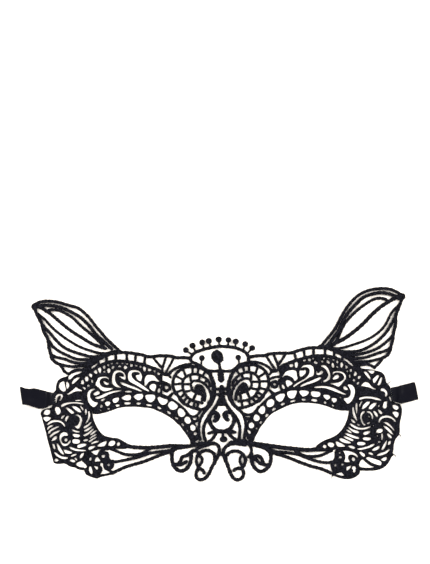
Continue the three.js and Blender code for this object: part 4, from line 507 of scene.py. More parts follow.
-34.83,-4.72 -35.03,-3.70 -34.42,-2.28 -33.61,-2.48 -33.61,-3.70 -33.81,-5.13 -34.42,-5.13
-33.89,-0.65 -33.40,-0.16 -32.71,-0.85 -33.20,-1.38
-53.56,-3.79 -51.93,-3.62 -49.69,-3.79 -49.65,-4.31 -51.93,-4.44 -53.35,-4.31
-71.67,-5.74 -71.27,-4.93 -70.04,-4.31 -69.23,-3.70 -68.01,-4.31 -68.21,-5.33 -69.43,-5.94 -70.86,-6.27
-75.19,-6.59 -74.93,-4.52 -73.38,-2.86 -71.05,-2.19 -70.89,-2.92 -72.60,-3.80 -73.59,-5.30 -73.59,-7.37 -72.34,-9.19 -70.79,-10.12 -68.82,-10.22 -69.75,-11.78 -71.31,-13.07 -72.86,-12.29 -74.68,-9.96
-70.53,-7.32 -68.20,-6.80 -65.09,-5.25 -61.46,-3.95 -56.28,-3.17 -55.35,-3.59 -59.91,-4.57 -63.02,-5.66 -66.13,-7.42 -69.23,-8.20 -70.53,-7.94
-67.42,-8.93 -66.13,-8.15 -64.83,-7.99 -65.19,-8.72 -66.90,-9.65
-65.19,-10.74 -64.31,-9.81 -63.02,-9.60 -61.88,-10.33 -62.50,-11.67 -63.64,-12.40 -64.67,-11.78
-61.05,-8.93 -59.91,-7.89 -57.32,-7.22 -56.90,-8.15 -57.58,-9.70 -59.13,-10.64 -60.43,-10.22
-55.87,-7.63 -54.73,-6.85 -52.65,-5.97 -50.58,-5.97 -50.06,-7.37 -50.58,-8.77 -52.65,-9.19 -54.47,-8.67
-48.77,-7.37 -47.73,-5.82 -45.92,-5.30 -43.58,-5.45 -43.22,-6.85 -43.84,-8.15 -45.92,-9.08 -47.47,-8.41
-42.19,-6.59 -41.25,-5.82 -36.85,-5.82 -36.33,-7.37 -37.11,-9.19 -38.92,-10.33 -40.73,-9.60 -41.77,-8.15
-35.29,-7.63 -34.00,-6.85 -31.41,-7.63 -29.08,-8.93 -29.59,-10.48 -30.89,-11.52 -32.70,-11.67 -34.26,-10.22
-29.33,-12.04 -28.56,-10.48 -27.00,-9.29 -25.19,-10.48 -23.38,-12.19 -23.89,-13.59 -25.71,-14.47 -27.78,-14.26
-23.74,-15.66 -23.12,-13.85 -22.08,-13.33 -20.01,-14.89 -18.87,-16.44 -20.01,-18.25 -21.82,-18.62 -23.12,-17.74
-20.01,-20.33 -19.23,-18.77 -18.19,-17.99 -16.12,-19.55 -15.86,-21.10 -16.90,-22.40 -18.71,-22.24
-16.64,-24.47 -16.12,-23.18 -14.83,-22.76 -13.37,-24.21 -13.53,-25.77 -14.83,-26.54 -16.12,-26.03
-14.57,-27.84 -13.53,-27.06 -12.65,-27.84 -13.01,-28.88 -14.20,-28.88
-13.37,-32.50 -12.49,-31.57 -11.46,-31.57 -11.82,-32.76 -13.01,-33.13
-67.78,-12.40 -67.16,-11.52 -66.38,-12.04 -66.75,-13.07 -67.52,-13.23
-63.74,-13.90 -63.02,-13.38 -62.14,-13.69 -62.96,-14.37
-59.13,-12.04 -58.61,-11.41 -56.80,-11.52 -56.90,-12.40 -58.46,-12.81
-53.95,-10.74 -53.59,-10.12 -50.48,-10.22 -50.32,-11.00 -52.13,-11.36 -53.69,-11.26
-47.21,-11.00 -46.43,-10.22 -44.62,-10.48 -44.88,-11.26 -46.43,-11.52
-41.67,-11.78 -41.15,-11.15 -38.40,-11.67 -38.40,-12.40 -40.73,-12.19
-35.29,-12.92 -34.78,-12.55 -32.96,-13.43 -33.22,-14.11 -34.52,-13.85
-29.85,-15.30 -29.23,-14.99 -27.52,-16.34 -27.78,-16.96 -29.08,-16.34
-25.29,-18.93 -24.67,-18.41 -23.38,-19.29 -23.63,-19.96 -24.67,-19.55
-21.56,-22.55 -21.04,-22.04 -20.01,-23.18 -20.27,-23.69 -21.04,-23.44
-18.50,-26.29 -17.83,-25.97 -17.47,-26.70 -18.04,-27.17
-68.15,-14.78 -67.42,-14.42 -67.06,-14.94 -67.78,-15.25
-20.42,-11.88 -19.49,-12.04 -17.52,-13.07 -17.93,-13.85 -19.23,-13.59 -20.11,-12.71
-17.16,-14.63 -16.38,-13.85 -12.23,-14.63 -10.16,-15.66 -10.68,-17.22 -12.75,-17.48 -14.83,-17.06 -16.64,-15.92
-14.05,-19.03 -11.46,-19.13 -11.61,-19.96 -12.86,-20.33 -13.89,-19.65
-13.12,-21.88 -12.13,-21.57 -11.92,-22.66 -12.65,-23.02
-69.52,-35.14 -68.70,-34.12 -66.67,-33.10 -64.02,-32.08 -64.22,-33.30 -65.24,-35.14 -67.07,-35.34 -68.70,-35.42
-63.20,-34.73 -62.80,-33.30 -61.78,-32.08 -59.54,-32.08 -59.13,-33.30 -59.95,-34.73 -61.37,-35.14 -62.59,-35.01
-58.20,-34.73 -58.12,-33.51 -57.50,-32.90 -56.49,-33.30 -56.57,-34.32 -57.50,-35.14
-74.60,-36.76 -74.20,-35.95 -72.77,-35.34 -70.94,-35.14 -71.14,-35.95 -72.77,-36.76 -73.99,-37.29
-72.98,-33.71 -72.16,-33.10 -70.53,-32.29 -68.29,-32.08 -69.11,-32.90 -71.14,-33.51 -72.57,-33.91
-72.98,-38.60 -71.96,-37.99 -69.72,-37.58 -68.29,-36.97 -67.48,-36.97 -68.29,-37.78 -69.11,-39.00 -69.52,-40.14 -70.74,-40.02 -72.16,-39.00
-70.94,-43.89 -70.53,-42.67 -69.84,-41.45 -69.11,-41.45 -68.50,-42.46 -67.68,-43.28 -68.09,-43.89 -69.52,-43.69 -70.25,-44.09
-67.07,-40.84 -66.46,-40.22 -65.04,-40.22 -64.96,-40.84 -65.85,-41.85 -66.58,-41.65
-63.57,-45.76 -63.20,-45.23 -62.47,-45.40 -62.31,-46.05 -63.00,-46.62 -63.45,-46.29
-73.91,-42.67 -73.51,-41.73 -72.94,-41.73 -72.81,-42.67 -73.38,-43.44 -73.87,-43.32
-67.89,-45.92 -67.48,-44.91 -66.67,-44.70 -66.18,-45.31 -66.34,-46.54 -65.85,-47.76 -65.24,-48.77 -63.00,-49.59 -62.39,-50.08 -63.00,-50.48 -65.04,-50.81 -67.07,-51.14 -67.68,-51.54 -67.07,-50.40 -66.34,-49.18 -66.46,-47.76 -67.28,-46.54
-71.35,-46.54 -70.74,-46.54 -69.19,-47.06 -69.03,-47.96 -69.72,-48.69 -70.53,-47.76
-74.20,-49.18 -73.99,-46.74 -72.98,-46.74 -72.85,-47.55 -72.28,-49.18 -72.16,-50.73 -72.77,-51.22 -73.59,-50.40
""",
}
ZONES = {
    "rim_right": """14.08,-32.53 14.25,-29.39 14.76,-25.97 15.67,-22.55 17.04,-19.48 18.75,-16.74 20.69,-14.23 22.63,-12.07 24.68,-10.13 26.51,-8.30 28.44,-6.59 30.72,-4.88 33.57,-3.86 36.42,-2.95 39.27,-2.49 42.69,-2.32 46.11,-2.26 49.53,-2.32 52.95,-2.55 56.37,-2.95 59.79,-3.74 63.21,-4.66 66.63,-5.91 70.05,-7.62 72.33,-8.87 74.33,-9.73 75.75,-11.15 76.04,-14.57 74.61,-15.03 71.36,-14.97 69.71,-14.97 67.72,-14.63 65.66,-14.23 63.21,-13.15 60.36,-12.12 57.51,-11.33 54.66,-10.81 51.81,-10.58 49.36,-10.53 47.31,-10.36 45.32,-10.58 43.26,-10.98 41.21,-11.38 39.22,-12.12 37.16,-13.04 35.11,-14.00 32.83,-15.14 30.72,-16.28 29.01,-17.60 27.13,-19.70 25.76,-21.81 24.28,-23.52 23.14,-25.01 22.17,-27.29 21.03,-29.22 20.29,-30.71 19.89,-32.53""",
    "scroll_right": """34.14,8.80 35.28,10.39 36.99,11.70 38.99,12.79 40.98,13.47 43.26,14.38 45.54,14.95 47.82,15.46 50.10,16.09 52.95,16.55 56.37,16.83 59.79,16.83 63.21,16.60 66.06,15.81 68.91,14.50 71.76,13.13 74.61,11.30 77.18,9.65 79.17,7.94 81.17,5.66 82.31,3.10 81.74,0.25 80.31,-2.03 79.63,-5.45 79.17,-8.87 77.46,-11.72 76.04,-14.29 74.61,-12.86 73.47,-11.72 71.19,-9.90 67.77,-7.96 64.35,-6.37 60.93,-5.11 57.51,-4.20 52.95,-3.63 49.53,-3.29 45.54,-3.29 41.55,-3.29 38.13,-3.63 35.28,-4.20 34.71,-0.89 34.60,2.53 34.31,5.95""",
    "temple_right": """76.04,11.08 77.75,10.33 80.31,9.48 82.59,9.02 84.87,8.85 87.15,8.45 89.72,7.83 92.51,7.20 94.16,5.66 94.96,3.38 95.25,1.10 96.62,0.07 97.58,-1.75 97.98,-3.74 98.33,-6.59 99.12,-9.73 101.12,-10.70 103.11,-11.04 104.14,-13.04 104.37,-15.60 103.80,-18.74 103.23,-21.30 102.94,-23.92 103.11,-26.49 102.71,-28.82 101.57,-29.96 100.38,-31.67 99.69,-34.24 99.47,-37.37 99.07,-38.91 99.47,-40.40 98.27,-41.36 97.58,-42.96 96.90,-44.21 95.36,-46.32 93.25,-47.86 90.17,-48.95 86.58,-49.23 81.34,-49.17 80.31,-49.12 80.20,-47.63 78.95,-45.81 79.86,-43.36 80.54,-41.36 79.74,-39.08 78.03,-37.94 74.61,-37.26 70.05,-36.98 65.49,-37.26 60.93,-38.06 57.51,-38.29 55.23,-38.40 54.09,-37.09 55.23,-35.21 56.54,-33.90 58.54,-32.59 60.71,-31.50 63.78,-30.42 66.41,-29.11 68.40,-27.57 70.17,-25.58 71.65,-23.12 72.79,-20.56 73.64,-17.03 74.10,-14.46 74.90,-12.58 76.32,-10.01 77.58,-7.16 77.81,-4.31 77.46,-1.46 75.75,0.82 74.50,2.81 75.47,7.09""",
    "rings_right": """65.95,-37.37 70.05,-36.69 74.61,-37.15 78.03,-37.94 80.03,-39.08 80.88,-41.08 80.77,-43.07 79.52,-45.13 79.86,-46.78 80.43,-48.77 80.20,-50.88 78.49,-52.42 76.27,-53.56 73.64,-54.13 71.48,-53.96 68.40,-53.33 65.78,-52.19 63.90,-52.19 64.52,-49.80 63.78,-48.20 63.21,-46.04 63.56,-44.21 65.61,-42.28 65.66,-40.68""",
    "temple_left": """-86.81,4.63 -88.98,4.06 -90.40,3.55 -91.83,2.41 -92.68,0.64 -93.08,-1.52 -92.97,-3.17 -94.11,-4.20 -94.68,-5.57 -94.45,-7.91 -94.68,-10.76 -95.36,-13.15 -97.98,-13.72 -99.92,-14.18 -101.35,-15.43 -101.92,-16.74 -101.23,-18.39 -100.49,-21.24 -99.69,-24.09 -98.78,-27.40 -97.98,-31.22 -97.07,-34.52 -96.22,-37.37 -95.65,-40.22 -94.79,-43.07 -94.45,-44.61 -93.02,-45.35 -90.40,-45.35 -88.52,-44.96 -87.10,-45.53 -85.39,-46.72 -83.73,-47.24 -82.31,-47.24 -80.88,-48.20 -78.55,-48.95 -76.61,-48.77 -77.58,-45.92 -77.69,-43.07 -76.84,-40.51 -75.58,-38.69 -73.99,-37.83 -70.74,-37.09 -67.89,-36.98 -64.64,-37.66 -62.19,-37.37 -58.94,-36.58 -56.49,-36.80 -53.07,-36.80 -51.64,-35.55 -52.15,-33.56 -54.21,-32.53 -56.26,-31.22 -58.08,-30.53 -60.42,-30.42 -63.04,-29.91 -65.32,-29.28 -67.15,-27.86 -68.97,-25.52 -70.51,-22.67 -71.59,-20.05 -72.22,-16.97 -72.73,-14.57 -74.44,-12.58 -75.52,-10.01 -75.75,-6.59 -75.30,-3.74 -73.87,-0.89 -72.45,1.39 -72.16,5.38 -73.02,8.23 -75.30,9.65 -77.58,8.80 -79.86,8.23 -82.71,7.09 -84.99,5.95""",
    "scroll_left": """-80.43,0.25 -79.57,3.10 -77.86,5.66 -75.87,7.94 -73.70,10.16 -72.16,11.53 -69.43,12.90 -68.17,11.65 -66.18,12.50 -64.12,13.64 -59.28,13.93 -53.58,13.93 -48.28,13.24 -42.75,12.33 -39.73,10.79 -36.25,9.08 -33.00,7.88 -32.26,5.95 -32.20,2.53 -32.38,-2.03 -32.20,-6.02 -34.83,-6.02 -38.25,-5.45 -42.24,-5.17 -47.94,-5.45 -53.64,-6.02 -58.20,-6.71 -62.19,-8.13 -66.18,-9.84 -69.31,-12.01 -71.31,-14.57 -72.73,-16.00 -74.44,-13.72 -75.70,-10.87 -76.15,-7.73 -76.27,-4.88 -77.58,-2.60 -79.57,-1.46""",
    "rim_left": """-72.28,-16.85 -69.25,-17.08 -66.12,-16.34 -64.07,-15.94 -61.96,-15.14 -59.91,-14.46 -57.85,-13.61 -55.23,-13.09 -52.67,-12.81 -49.02,-12.69 -45.94,-12.81 -42.81,-13.21 -40.24,-13.32 -37.62,-13.95 -35.57,-14.97 -32.95,-16.00 -30.89,-17.20 -28.84,-18.28 -26.22,-20.05 -24.17,-22.16 -22.34,-23.69 -21.03,-25.52 -19.49,-27.57 -17.95,-29.91 -16.64,-31.96 -16.47,-33.78 -11.34,-32.81 -11.68,-29.39 -12.25,-25.97 -13.17,-22.84 -14.59,-19.99 -16.30,-17.42 -18.30,-14.86 -20.58,-12.58 -22.86,-10.58 -25.14,-8.87 -27.70,-7.16 -30.84,-5.74 -34.26,-4.60 -38.25,-4.03 -42.24,-3.86 -46.80,-3.86 -50.79,-4.14 -55.35,-4.77 -59.91,-5.74 -63.90,-7.28 -67.32,-9.16 -70.17,-11.44 -72.45,-14.00""",
    "rings_left": """-65.04,-38.00 -63.21,-38.40 -62.53,-39.60 -62.53,-41.42 -61.96,-42.68 -60.13,-43.47 -59.56,-44.73 -59.74,-46.72 -60.76,-47.98 -61.56,-48.55 -61.39,-49.00 -59.74,-49.40 -58.94,-49.57 -59.74,-50.83 -61.79,-51.62 -65.04,-52.25 -67.49,-52.82 -69.54,-53.85 -71.53,-53.28 -73.99,-52.42 -76.04,-51.40 -76.84,-49.57 -77.06,-48.38 -76.44,-47.58 -75.24,-47.12 -75.81,-45.92 -77.23,-44.73 -77.86,-43.47 -77.63,-41.88 -76.84,-39.83 -75.64,-38.57 -74.38,-37.77 -73.19,-37.15 -70.74,-36.58 -68.29,-36.18 -66.69,-35.95""",
}

# Centre details in millimetres: picot bead centre, radius and the foot of its stalk.
PICOTS = [(-18.98, 19.63, 1.48, -15.56, 17.12), (-15.16, 22.13, 1.54, -13.4, 18.71), (-9.63, 23.96, 1.54, -8.49, 20.2), (-5.87, 24.81, 1.54, -4.84, 20.88), (-0.23, 25.67, 1.6, 0.11, 21.62), (5.3, 25.38, 1.42, 4.96, 21.34), (9.52, 24.53, 1.54, 9.01, 20.48), (14.88, 23.05, 1.54, 13.62, 18.77), (18.87, 20.82, 1.48, 15.9, 17.35), (-9.8, 15.07, 1.48, -10.2, 10.68), (10.89, 15.41, 1.48, 11.46, 11.65)]
DROP = [(-1.48, 19.51), (-3.36, 18.6), (-4.39, 16.89), (-4.27, 15.07), (-3.14, 13.36), (-1.42, 12.04), (0.11, 11.53), (0.97, 12.79), (2.28, 13.58), (2.22, 15.64), (1.54, 17.74), (0.17, 19.11)]
TRUNK = [(1.54, 0.07), (2.39, -0.89), (2.85, -3.74), (3.14, -7.45), (4.27, -10.36), (6.21, -13.61), (3.65, -12.29), (1.37, -11.9), (-0.91, -12.29), (-3.48, -14.0), (-1.42, -10.58), (-0.11, -7.45), (0.17, -3.74), (0.46, -0.89)]
CLUB = [(0.06, 11.93, 0.68), (0.46, 9.37, 0.85), (0.74, 7.66, 1.54), (0.97, 4.81, 1.71), (1.14, 2.98, 1.99)]
TIP = (2.51, -31.22, 2.34, 1.82)
# Ribbon edges in millimetres, from the hem outwards: x, y of the upper edge, x, y of the lower edge.
RIBBON = {'right': [(97.76, -1.86, 98.9, -9.56), (99.46, -1.41, 99.86, -9.79), (102.54, -0.61, 103.46, -10.81), (106.82, 0.47, 108.24, -9.62), (111.15, 1.61, 113.26, -8.3)], 'left': [(-93.82, -4.77, -93.99, -11.5), (-95.53, -4.49, -95.7, -11.84), (-97.81, -3.8, -97.93, -12.98), (-99.81, -3.35, -100.04, -13.55), (-102.37, -2.66, -102.66, -13.61), (-105.22, -1.92, -105.16, -12.75), (-109.27, -2.55, -108.36, -11.67), (-113.26, -1.01, -111.83, -11.27)]}
SIDES = 10
THICKER = 1.07
OPEN_GROW = 0.05
KNOTS = {'medal_right': [(13.34, -1.81, 0.86, 1.08)], 'medal_left': [(-11.35, -2.37, 0.86, 1.08)], 'heart': [(-1.88, -18.56, 1.25, 1.5), (4.1, -17.99, 1.25, 1.5), (-5.87, -27.86, 1.05, 0.95), (9.06, -27.23, 1.05, 0.95), (0.97, -26.32, 1.9, 1.0)]}
rng = random.Random(7)


def hash01(*k):
    v = math.sin(sum((i + 1) * 12.9898 * float(x) for i, x in enumerate(k)) + 4.1414) * 43758.5453
    return v - math.floor(v)


def relief(x, y):
    """How far the lace stands off the surface, in millimetres: it never lies quite flat."""
    r = 0.16 + 0.14 * math.sin(x * 0.11 + 1.3) * math.cos(y * 0.13 - 0.4)
    r += 0.10 * math.sin(x * 0.31 + y * 0.23)
    ear = max(0.0, (y - 20.0) / 34.0) * min(1.0, abs(x) / 60.0)
    return max(0.05, r + 0.5 * ear * ear)


def sweep(points, widths, flat=0.72, z_extra=0.0, closed=False, ridge=1.0, key=0.0, z_fixed=None, extend=0.32):
    """A corded line of stitches: an oval tube with the thread's fine ridges across it. All in millimetres."""
    P = np.array(points, float)
    W = np.array(widths, float) * THICKER
    if not closed and extend:
        for e, nx in ((0, 1), (-1, -2)):
            d = P[e] - P[nx]
            P[e] = P[e] + d / (np.hypot(*d) + 1e-9) * W[e] * extend
    seg = np.hypot(*np.diff(P, axis=0).T)
    s = np.r_[0, np.cumsum(seg)]
    n = max(4, int(round(s[-1] / STEP)) + 1)
    # smooth the centreline through the measured points
    t = np.linspace(0, s[-1], n)
    Q = np.stack([catmull(s, P[:, 0], t), catmull(s, P[:, 1], t)], 1)
    V = np.interp(t, s, W)
    T = np.gradient(Q, axis=0)
    T /= np.linalg.norm(T, axis=1)[:, None] + 1e-12
    N = np.stack([-T[:, 1], T[:, 0]], 1)
    ph = 6.28 * hash01(key, n)
    verts, faces, uv = [], [], []
    for i in range(n):
        u = t[i]
        wob = 1 + 0.07 * math.sin(u * 1.9 + ph) + 0.06 * math.sin(u * 3.7 + 2 * ph) + 0.04 * math.sin(u * 7.1 + 3 * ph)
        rid = 1 + 0.05 * ridge * (1 if i % 2 else -1)
        a = V[i] / 2 * wob * rid
        e = min(t[i], s[-1] - t[i])
        if not closed and e < a:
            a *= math.sqrt(max(0.12, 1 - (1 - e / a) ** 2))
        b = min(a * flat, 0.62)
        cz = 0.03 + b + z_extra + (relief(Q[i, 0], Q[i, 1]) if z_fixed is None else z_fixed)
        for k in range(SIDES):
            c = 2 * math.pi * k / SIDES
            x, y = Q[i] + N[i] * a * math.cos(c)
            verts.append((x * MM, y * MM, (cz + b * math.sin(c)) * MM))
    for i in range(n - 1):
        for k in range(SIDES):
            k2 = (k + 1) % SIDES
            faces.append((i * SIDES + k, (i + 1) * SIDES + k, (i + 1) * SIDES + k2, i * SIDES + k2))
            uv.append([(t[i], k / SIDES), (t[i + 1], k / SIDES), (t[i + 1], (k + 1) / SIDES), (t[i], (k + 1) / SIDES)])
    for i, flip in ((0, False), (n - 1, True)):
        ring = [i * SIDES + k for k in range(SIDES)]
        faces.append(tuple(ring[::-1] if flip else ring))
        uv.append([(t[i], 0.5)] * SIDES)
    # faces wind outwards
    faces = [f[::-1] for f in faces]
    uv = [f[::-1] for f in uv]
    return verts, faces, uv


def catmull(s, v, t):
    m = np.gradient(v, s)
    i = np.clip(np.searchsorted(s, t, side="right") - 1, 0, len(s) - 2)
    h = s[i + 1] - s[i]
    q = (t - s[i]) / h
    return (
        (2 * q**3 - 3 * q**2 + 1) * v[i]
        + (q**3 - 2 * q**2 + q) * h * m[i]
        + (-2 * q**3 + 3 * q**2) * v[i + 1]
        + (q**3 - q**2) * h * m[i + 1]
    )


def dome(x, y, rx, ry, z0, h, rings=7, seg=24):
    """A knot of wound thread: a flattened ball. Millimetres."""
    verts, faces, uv = [], [], []
    for j in range(rings + 1):
        a = math.pi * (j / rings - 0.5)
        for k in range(seg):
            c = 2 * math.pi * k / seg
            r = math.cos(a) * (1 + 0.03 * math.sin(5 * c + 3 * j))
            r = max(r, 0.02)
            verts.append(((x + rx * r * math.cos(c)) * MM, (y + ry * r * math.sin(c)) * MM, (z0 + h / 2 + h / 2 * math.sin(a)) * MM))
    for j in range(rings):
        for k in range(seg):
            k2 = (k + 1) % seg
            faces.append((j * seg + k, j * seg + k2, (j + 1) * seg + k2, (j + 1) * seg + k))
            uv.append([(j * 0.6, k / seg), (j * 0.6, (k + 1) / seg), (j * 0.6 + 0.6, (k + 1) / seg), (j * 0.6 + 0.6, k / seg)])
    faces.append(tuple(range(seg))[::-1])
    uv.append([(0, 0)] * seg)
    faces.append(tuple(rings * seg + k for k in range(seg)))
    uv.append([(0, 0)] * seg)
    return verts, faces, uv


def build(name, parts, mat, smooth=True):
    verts, faces, uv = [], [], []
    for v, f, u in parts:
        o = len(verts)
        verts += v
        faces += [tuple(i + o for i in q) for q in f]
        uv += u
    me = bpy.data.meshes.new(name)
    me.from_pydata(verts, [], faces)
    me.update()
    lay = me.uv_layers.new(name="UVMap")
    flatuv = [c for f in uv for p in f for c in p]
    lay.data.foreach_set("uv", flatuv)
    if smooth:
        me.polygons.foreach_set("use_smooth", [True] * len(me.polygons))
    me.materials.append(mat)
    ob = bpy.data.objects.new(name, me)
    bpy.context.scene.collection.objects.link(ob)
    return ob


def hatch(poly, pitch=0.62, width=0.95, z=0.35, key=1.0):
    """Satin stitch fill: side by side threads across a shape."""
    P = np.array(poly, float)
    out = []
    y = P[:, 1].min() + 0.3
    while y < P[:, 1].max() - 0.2:
        xs = []
        for i in range(len(P)):
            a, b = P[i], P[(i + 1) % len(P)]
            if (a[1] - y) * (b[1] - y) < 0:
                xs.append(a[0] + (b[0] - a[0]) * (y - a[1]) / (b[1] - a[1]))
        xs.sort()
        for k in range(0, len(xs) - 1, 2):
            if xs[k + 1] - xs[k] > 0.5:
                m = (xs[k] + xs[k + 1]) / 2
                dz = 0.12 * hash01(key, y)
                out.append(sweep([(xs[k], y), (m, y + 0.04), (xs[k + 1], y)], [width, width * 1.05, width], z_extra=z * 0.5 + dz, key=y))
        y += pitch
    return out


# ---- materials ----
def principled(name, colour, rough):
    m = bpy.data.materials.new(name)
    m.use_nodes = True
    b = m.node_tree.nodes["Principled BSDF"]
    b.inputs["Base Color"].default_value = (*colour, 1)
    b.inputs["Roughness"].default_value = rough
    return m, m.node_tree, b


def thread_material(name, colour, rough, pitch, strength, sheen):
    m, nt, b = principled(name, colour, rough)
    b.inputs["Specular IOR Level"].default_value = 0.045
    b.inputs["Sheen Weight"].default_value = sheen
    b.inputs["Sheen Roughness"].default_value = 0.45
    b.inputs["Sheen Tint"].default_value = (0.80, 0.86, 1.0, 1)
    n = nt.nodes.new
    uvn = n("ShaderNodeUVMap")
    uvn.uv_map = "UVMap"
    sep = n("ShaderNodeSeparateXYZ")
    nt.links.new(uvn.outputs["UV"], sep.inputs[0])
    skew = n("ShaderNodeMath")
    skew.operation = "MULTIPLY_ADD"
    skew.inputs[1].default_value = pitch * 0.9
    nt.links.new(sep.outputs["Y"], skew.inputs[0])
    nt.links.new(sep.outputs["X"], skew.inputs[2])
    mul = n("ShaderNodeMath")
    mul.operation = "MULTIPLY"
    mul.inputs[1].default_value = 2 * math.pi / pitch
    nt.links.new(skew.outputs[0], mul.inputs[0])
    sn = n("ShaderNodeMath")
    sn.operation = "SINE"
    nt.links.new(mul.outputs[0], sn.inputs[0])
    tc = n("ShaderNodeTexCoord")
    noi = n("ShaderNodeTexNoise")
    noi.inputs["Scale"].default_value = 900
    noi.inputs["Detail"].default_value = 3
    nt.links.new(tc.outputs["Object"], noi.inputs["Vector"])
    # fluffed fibre is a little paler than the hard-wound crest of a thread
    pale = n("ShaderNodeTexNoise")
    pale.inputs["Scale"].default_value = 1250
    pale.inputs["Detail"].default_value = 2
    nt.links.new(tc.outputs["Object"], pale.inputs["Vector"])
    wave = n("ShaderNodeMath")
    wave.operation = "MULTIPLY_ADD"
    wave.inputs[1].default_value = -0.07
    nt.links.new(sn.outputs[0], wave.inputs[0])
    nt.links.new(pale.outputs["Fac"], wave.inputs[2])
    ramp = n("ShaderNodeValToRGB")
    ramp.color_ramp.elements[0].position = 0.42
    ramp.color_ramp.elements[0].color = (colour[0] * 0.4, colour[1] * 0.4, colour[2] * 0.4, 1)
    ramp.color_ramp.elements[1].position = 0.70
    ramp.color_ramp.elements[1].color = (colour[0] + 0.012, colour[1] + 0.012, colour[2] + 0.017, 1)
    nt.links.new(wave.outputs[0], ramp.inputs["Fac"])
    nt.links.new(ramp.outputs["Color"], b.inputs["Base Color"])
    add = n("ShaderNodeMath")
    add.operation = "ADD"
    nt.links.new(sn.outputs[0], add.inputs[0])
    nt.links.new(noi.outputs["Fac"], add.inputs[1])
    bump = n("ShaderNodeBump")
    bump.inputs["Strength"].default_value = strength
    bump.inputs["Distance"].default_value = 0.00008
    nt.links.new(add.outputs[0], bump.inputs["Height"])
    nt.links.new(bump.outputs[0], b.inputs["Normal"])
    return m


LACE = thread_material("black_cord_thread", (0.0018, 0.0018, 0.0034), 0.7, 0.42, 0.8, 0.004)
KNOT = thread_material("black_knot_thread", (0.0018, 0.0018, 0.0034), 0.7, 0.6, 0.8, 0.004)
STITCH = thread_material("black_sewing_thread", (0.012, 0.013, 0.017), 0.55, 0.3, 0.6, 0.08)
RIB, nt, b = principled("black_satin_ribbon", (0.0018, 0.0018, 0.0042), 0.30)
b.inputs["Specular IOR Level"].default_value = 0.09
b.inputs["Anisotropic"].default_value = 0.5
b.inputs["Sheen Weight"].default_value = 0.0
tc = nt.nodes.new("ShaderNodeUVMap")
tc.uv_map = "UVMap"
mp = nt.nodes.new("ShaderNodeMapping")
mp.inputs["Scale"].default_value = (40, 3, 1)
noi = nt.nodes.new("ShaderNodeTexNoise")
noi.inputs["Scale"].default_value = 3.0
noi.inputs["Detail"].default_value = 4
nt.links.new(tc.outputs["UV"], mp.inputs["Vector"])
nt.links.new(mp.outputs["Vector"], noi.inputs["Vector"])
bump = nt.nodes.new("ShaderNodeBump")
bump.inputs["Strength"].default_value = 0.25
bump.inputs["Distance"].default_value = 0.00005
nt.links.new(noi.outputs["Fac"], bump.inputs["Height"])
nt.links.new(bump.outputs[0], b.inputs["Normal"])

STEP = 0.42

# ---- lace ----
REPLACES = {
    "ear": ["ear"],
    "ladder": ["brow_lattice", "brow_inner"],
    "scroll": ["brow_scroll"],
    "medal": ["medallion"],
    "rim": ["upper_rim", "rim_inner"],
    "temple": ["temple_upper", "temple_lower"],
    "rings": ["cheek_rings"],
    "under": ["under_strands"],
    "curlout": ["curl_outer"],
    "curlin": ["curl_inner"],
}
SHOWN = {
    "ear": "ear_lace",
    "ladder": "brow_ladder",
    "scroll": "brow_scrolls",
    "medal": "medallion_rings",
    "rim": "eye_rim",
    "temple": "temple_lace",
    "rings": "cheek_knot_rings",
    "under": "under_eye_cords",
    "curlout": "outer_curl",
    "curlin": "inner_curl",
}
CENTRE_PIECES = {
    "crown_cords": (["crown"], ["crown_arch", "crown_base", "crown_base_right"]),
    "nose_bridge_cords": (["trunk", "noseband_L"], ["nose_bridge"]),
    "nose_heart_cords": (["heart", "noseside_L", "noseside_R", "link"], ["nose_heart"]),
}


def strokes(group, zs=0.0):
    out = []
    if group not in STROKES:
        return out
    for i, line in enumerate(STROKES[group].strip().splitlines()):
        width, line = line.split("|")
        a = np.array([[float(v) for v in p.split(",")] + [float(width)] for p in line.split()])
        if len(a) == 2:
            a = np.array([a[0], (a[0] + a[1]) / 2, a[1]])
        keep = np.r_[True, np.hypot(*np.diff(a[:, :2], axis=0).T) > 0.05]
        a = a[keep]
        if len(a) < 2:
            continue
        closed = len(a) > 4 and np.hypot(*(a[0, :2] - a[-1, :2])) < 0.2
        out.append(sweep(a[:, :2], a[:, 2], z_extra=zs + 0.22 * hash01(i, len(group)), closed=closed, key=i + len(group), extend=0.6 if group[:5] == "under" else 0.32))
    return out


def points(text):
    return np.array([[float(v) for v in p.split(",")] for p in text.split()])


def area_of(P):
    x, y = P.T
    return 0.5 * float(np.sum(x * np.roll(y, -1) - np.roll(x, -1) * y))


def rounded(P, grow=0.0, step=0.3):
    """A closed outline with its corners cut round, grown outwards, in short steps."""
    area = np.sum(P[:, 0] * np.roll(P[:, 1], -1) - np.roll(P[:, 0], -1) * P[:, 1])
    if area < 0:
        P = P[::-1]
    if grow:
        t = np.roll(P, -1, 0) - np.roll(P, 1, 0)
        t /= np.hypot(*t.T)[:, None] + 1e-9
        P = P + np.stack([t[:, 1], -t[:, 0]], 1) * grow
    for cut in (0.17, 0.25):
        Q = np.roll(P, -1, 0)
        P = np.stack([P * (1 - cut) + Q * cut, P * cut + Q * (1 - cut)], 1).reshape(-1, 2)
    out = []
    for a, c in zip(P, np.roll(P, -1, 0)):
        n = max(1, int(math.hypot(*(c - a)) / step))
        out += [a + (c - a) * k / n for k in range(n)]
    P = np.array(out)
    keep = [0]
    for i in range(1, len(P)):
        if math.hypot(*(P[i] - P[keep[-1]])) > 0.5 * step * 0.6:
            keep.append(i)
    return P[keep]


def inside(P, q):
    x, y = q[:, 0], q[:, 1]
    r = np.zeros(len(q), bool)
    for (x1, y1), (x2, y2) in zip(P, np.roll(P, -1, 0)):
        hit = (y1 > y) != (y2 > y)
        if hit.any():
            r ^= hit & (x < (x2 - x1) * (y - y1) / (y2 - y1 + 1e-12) + x1)
    return r


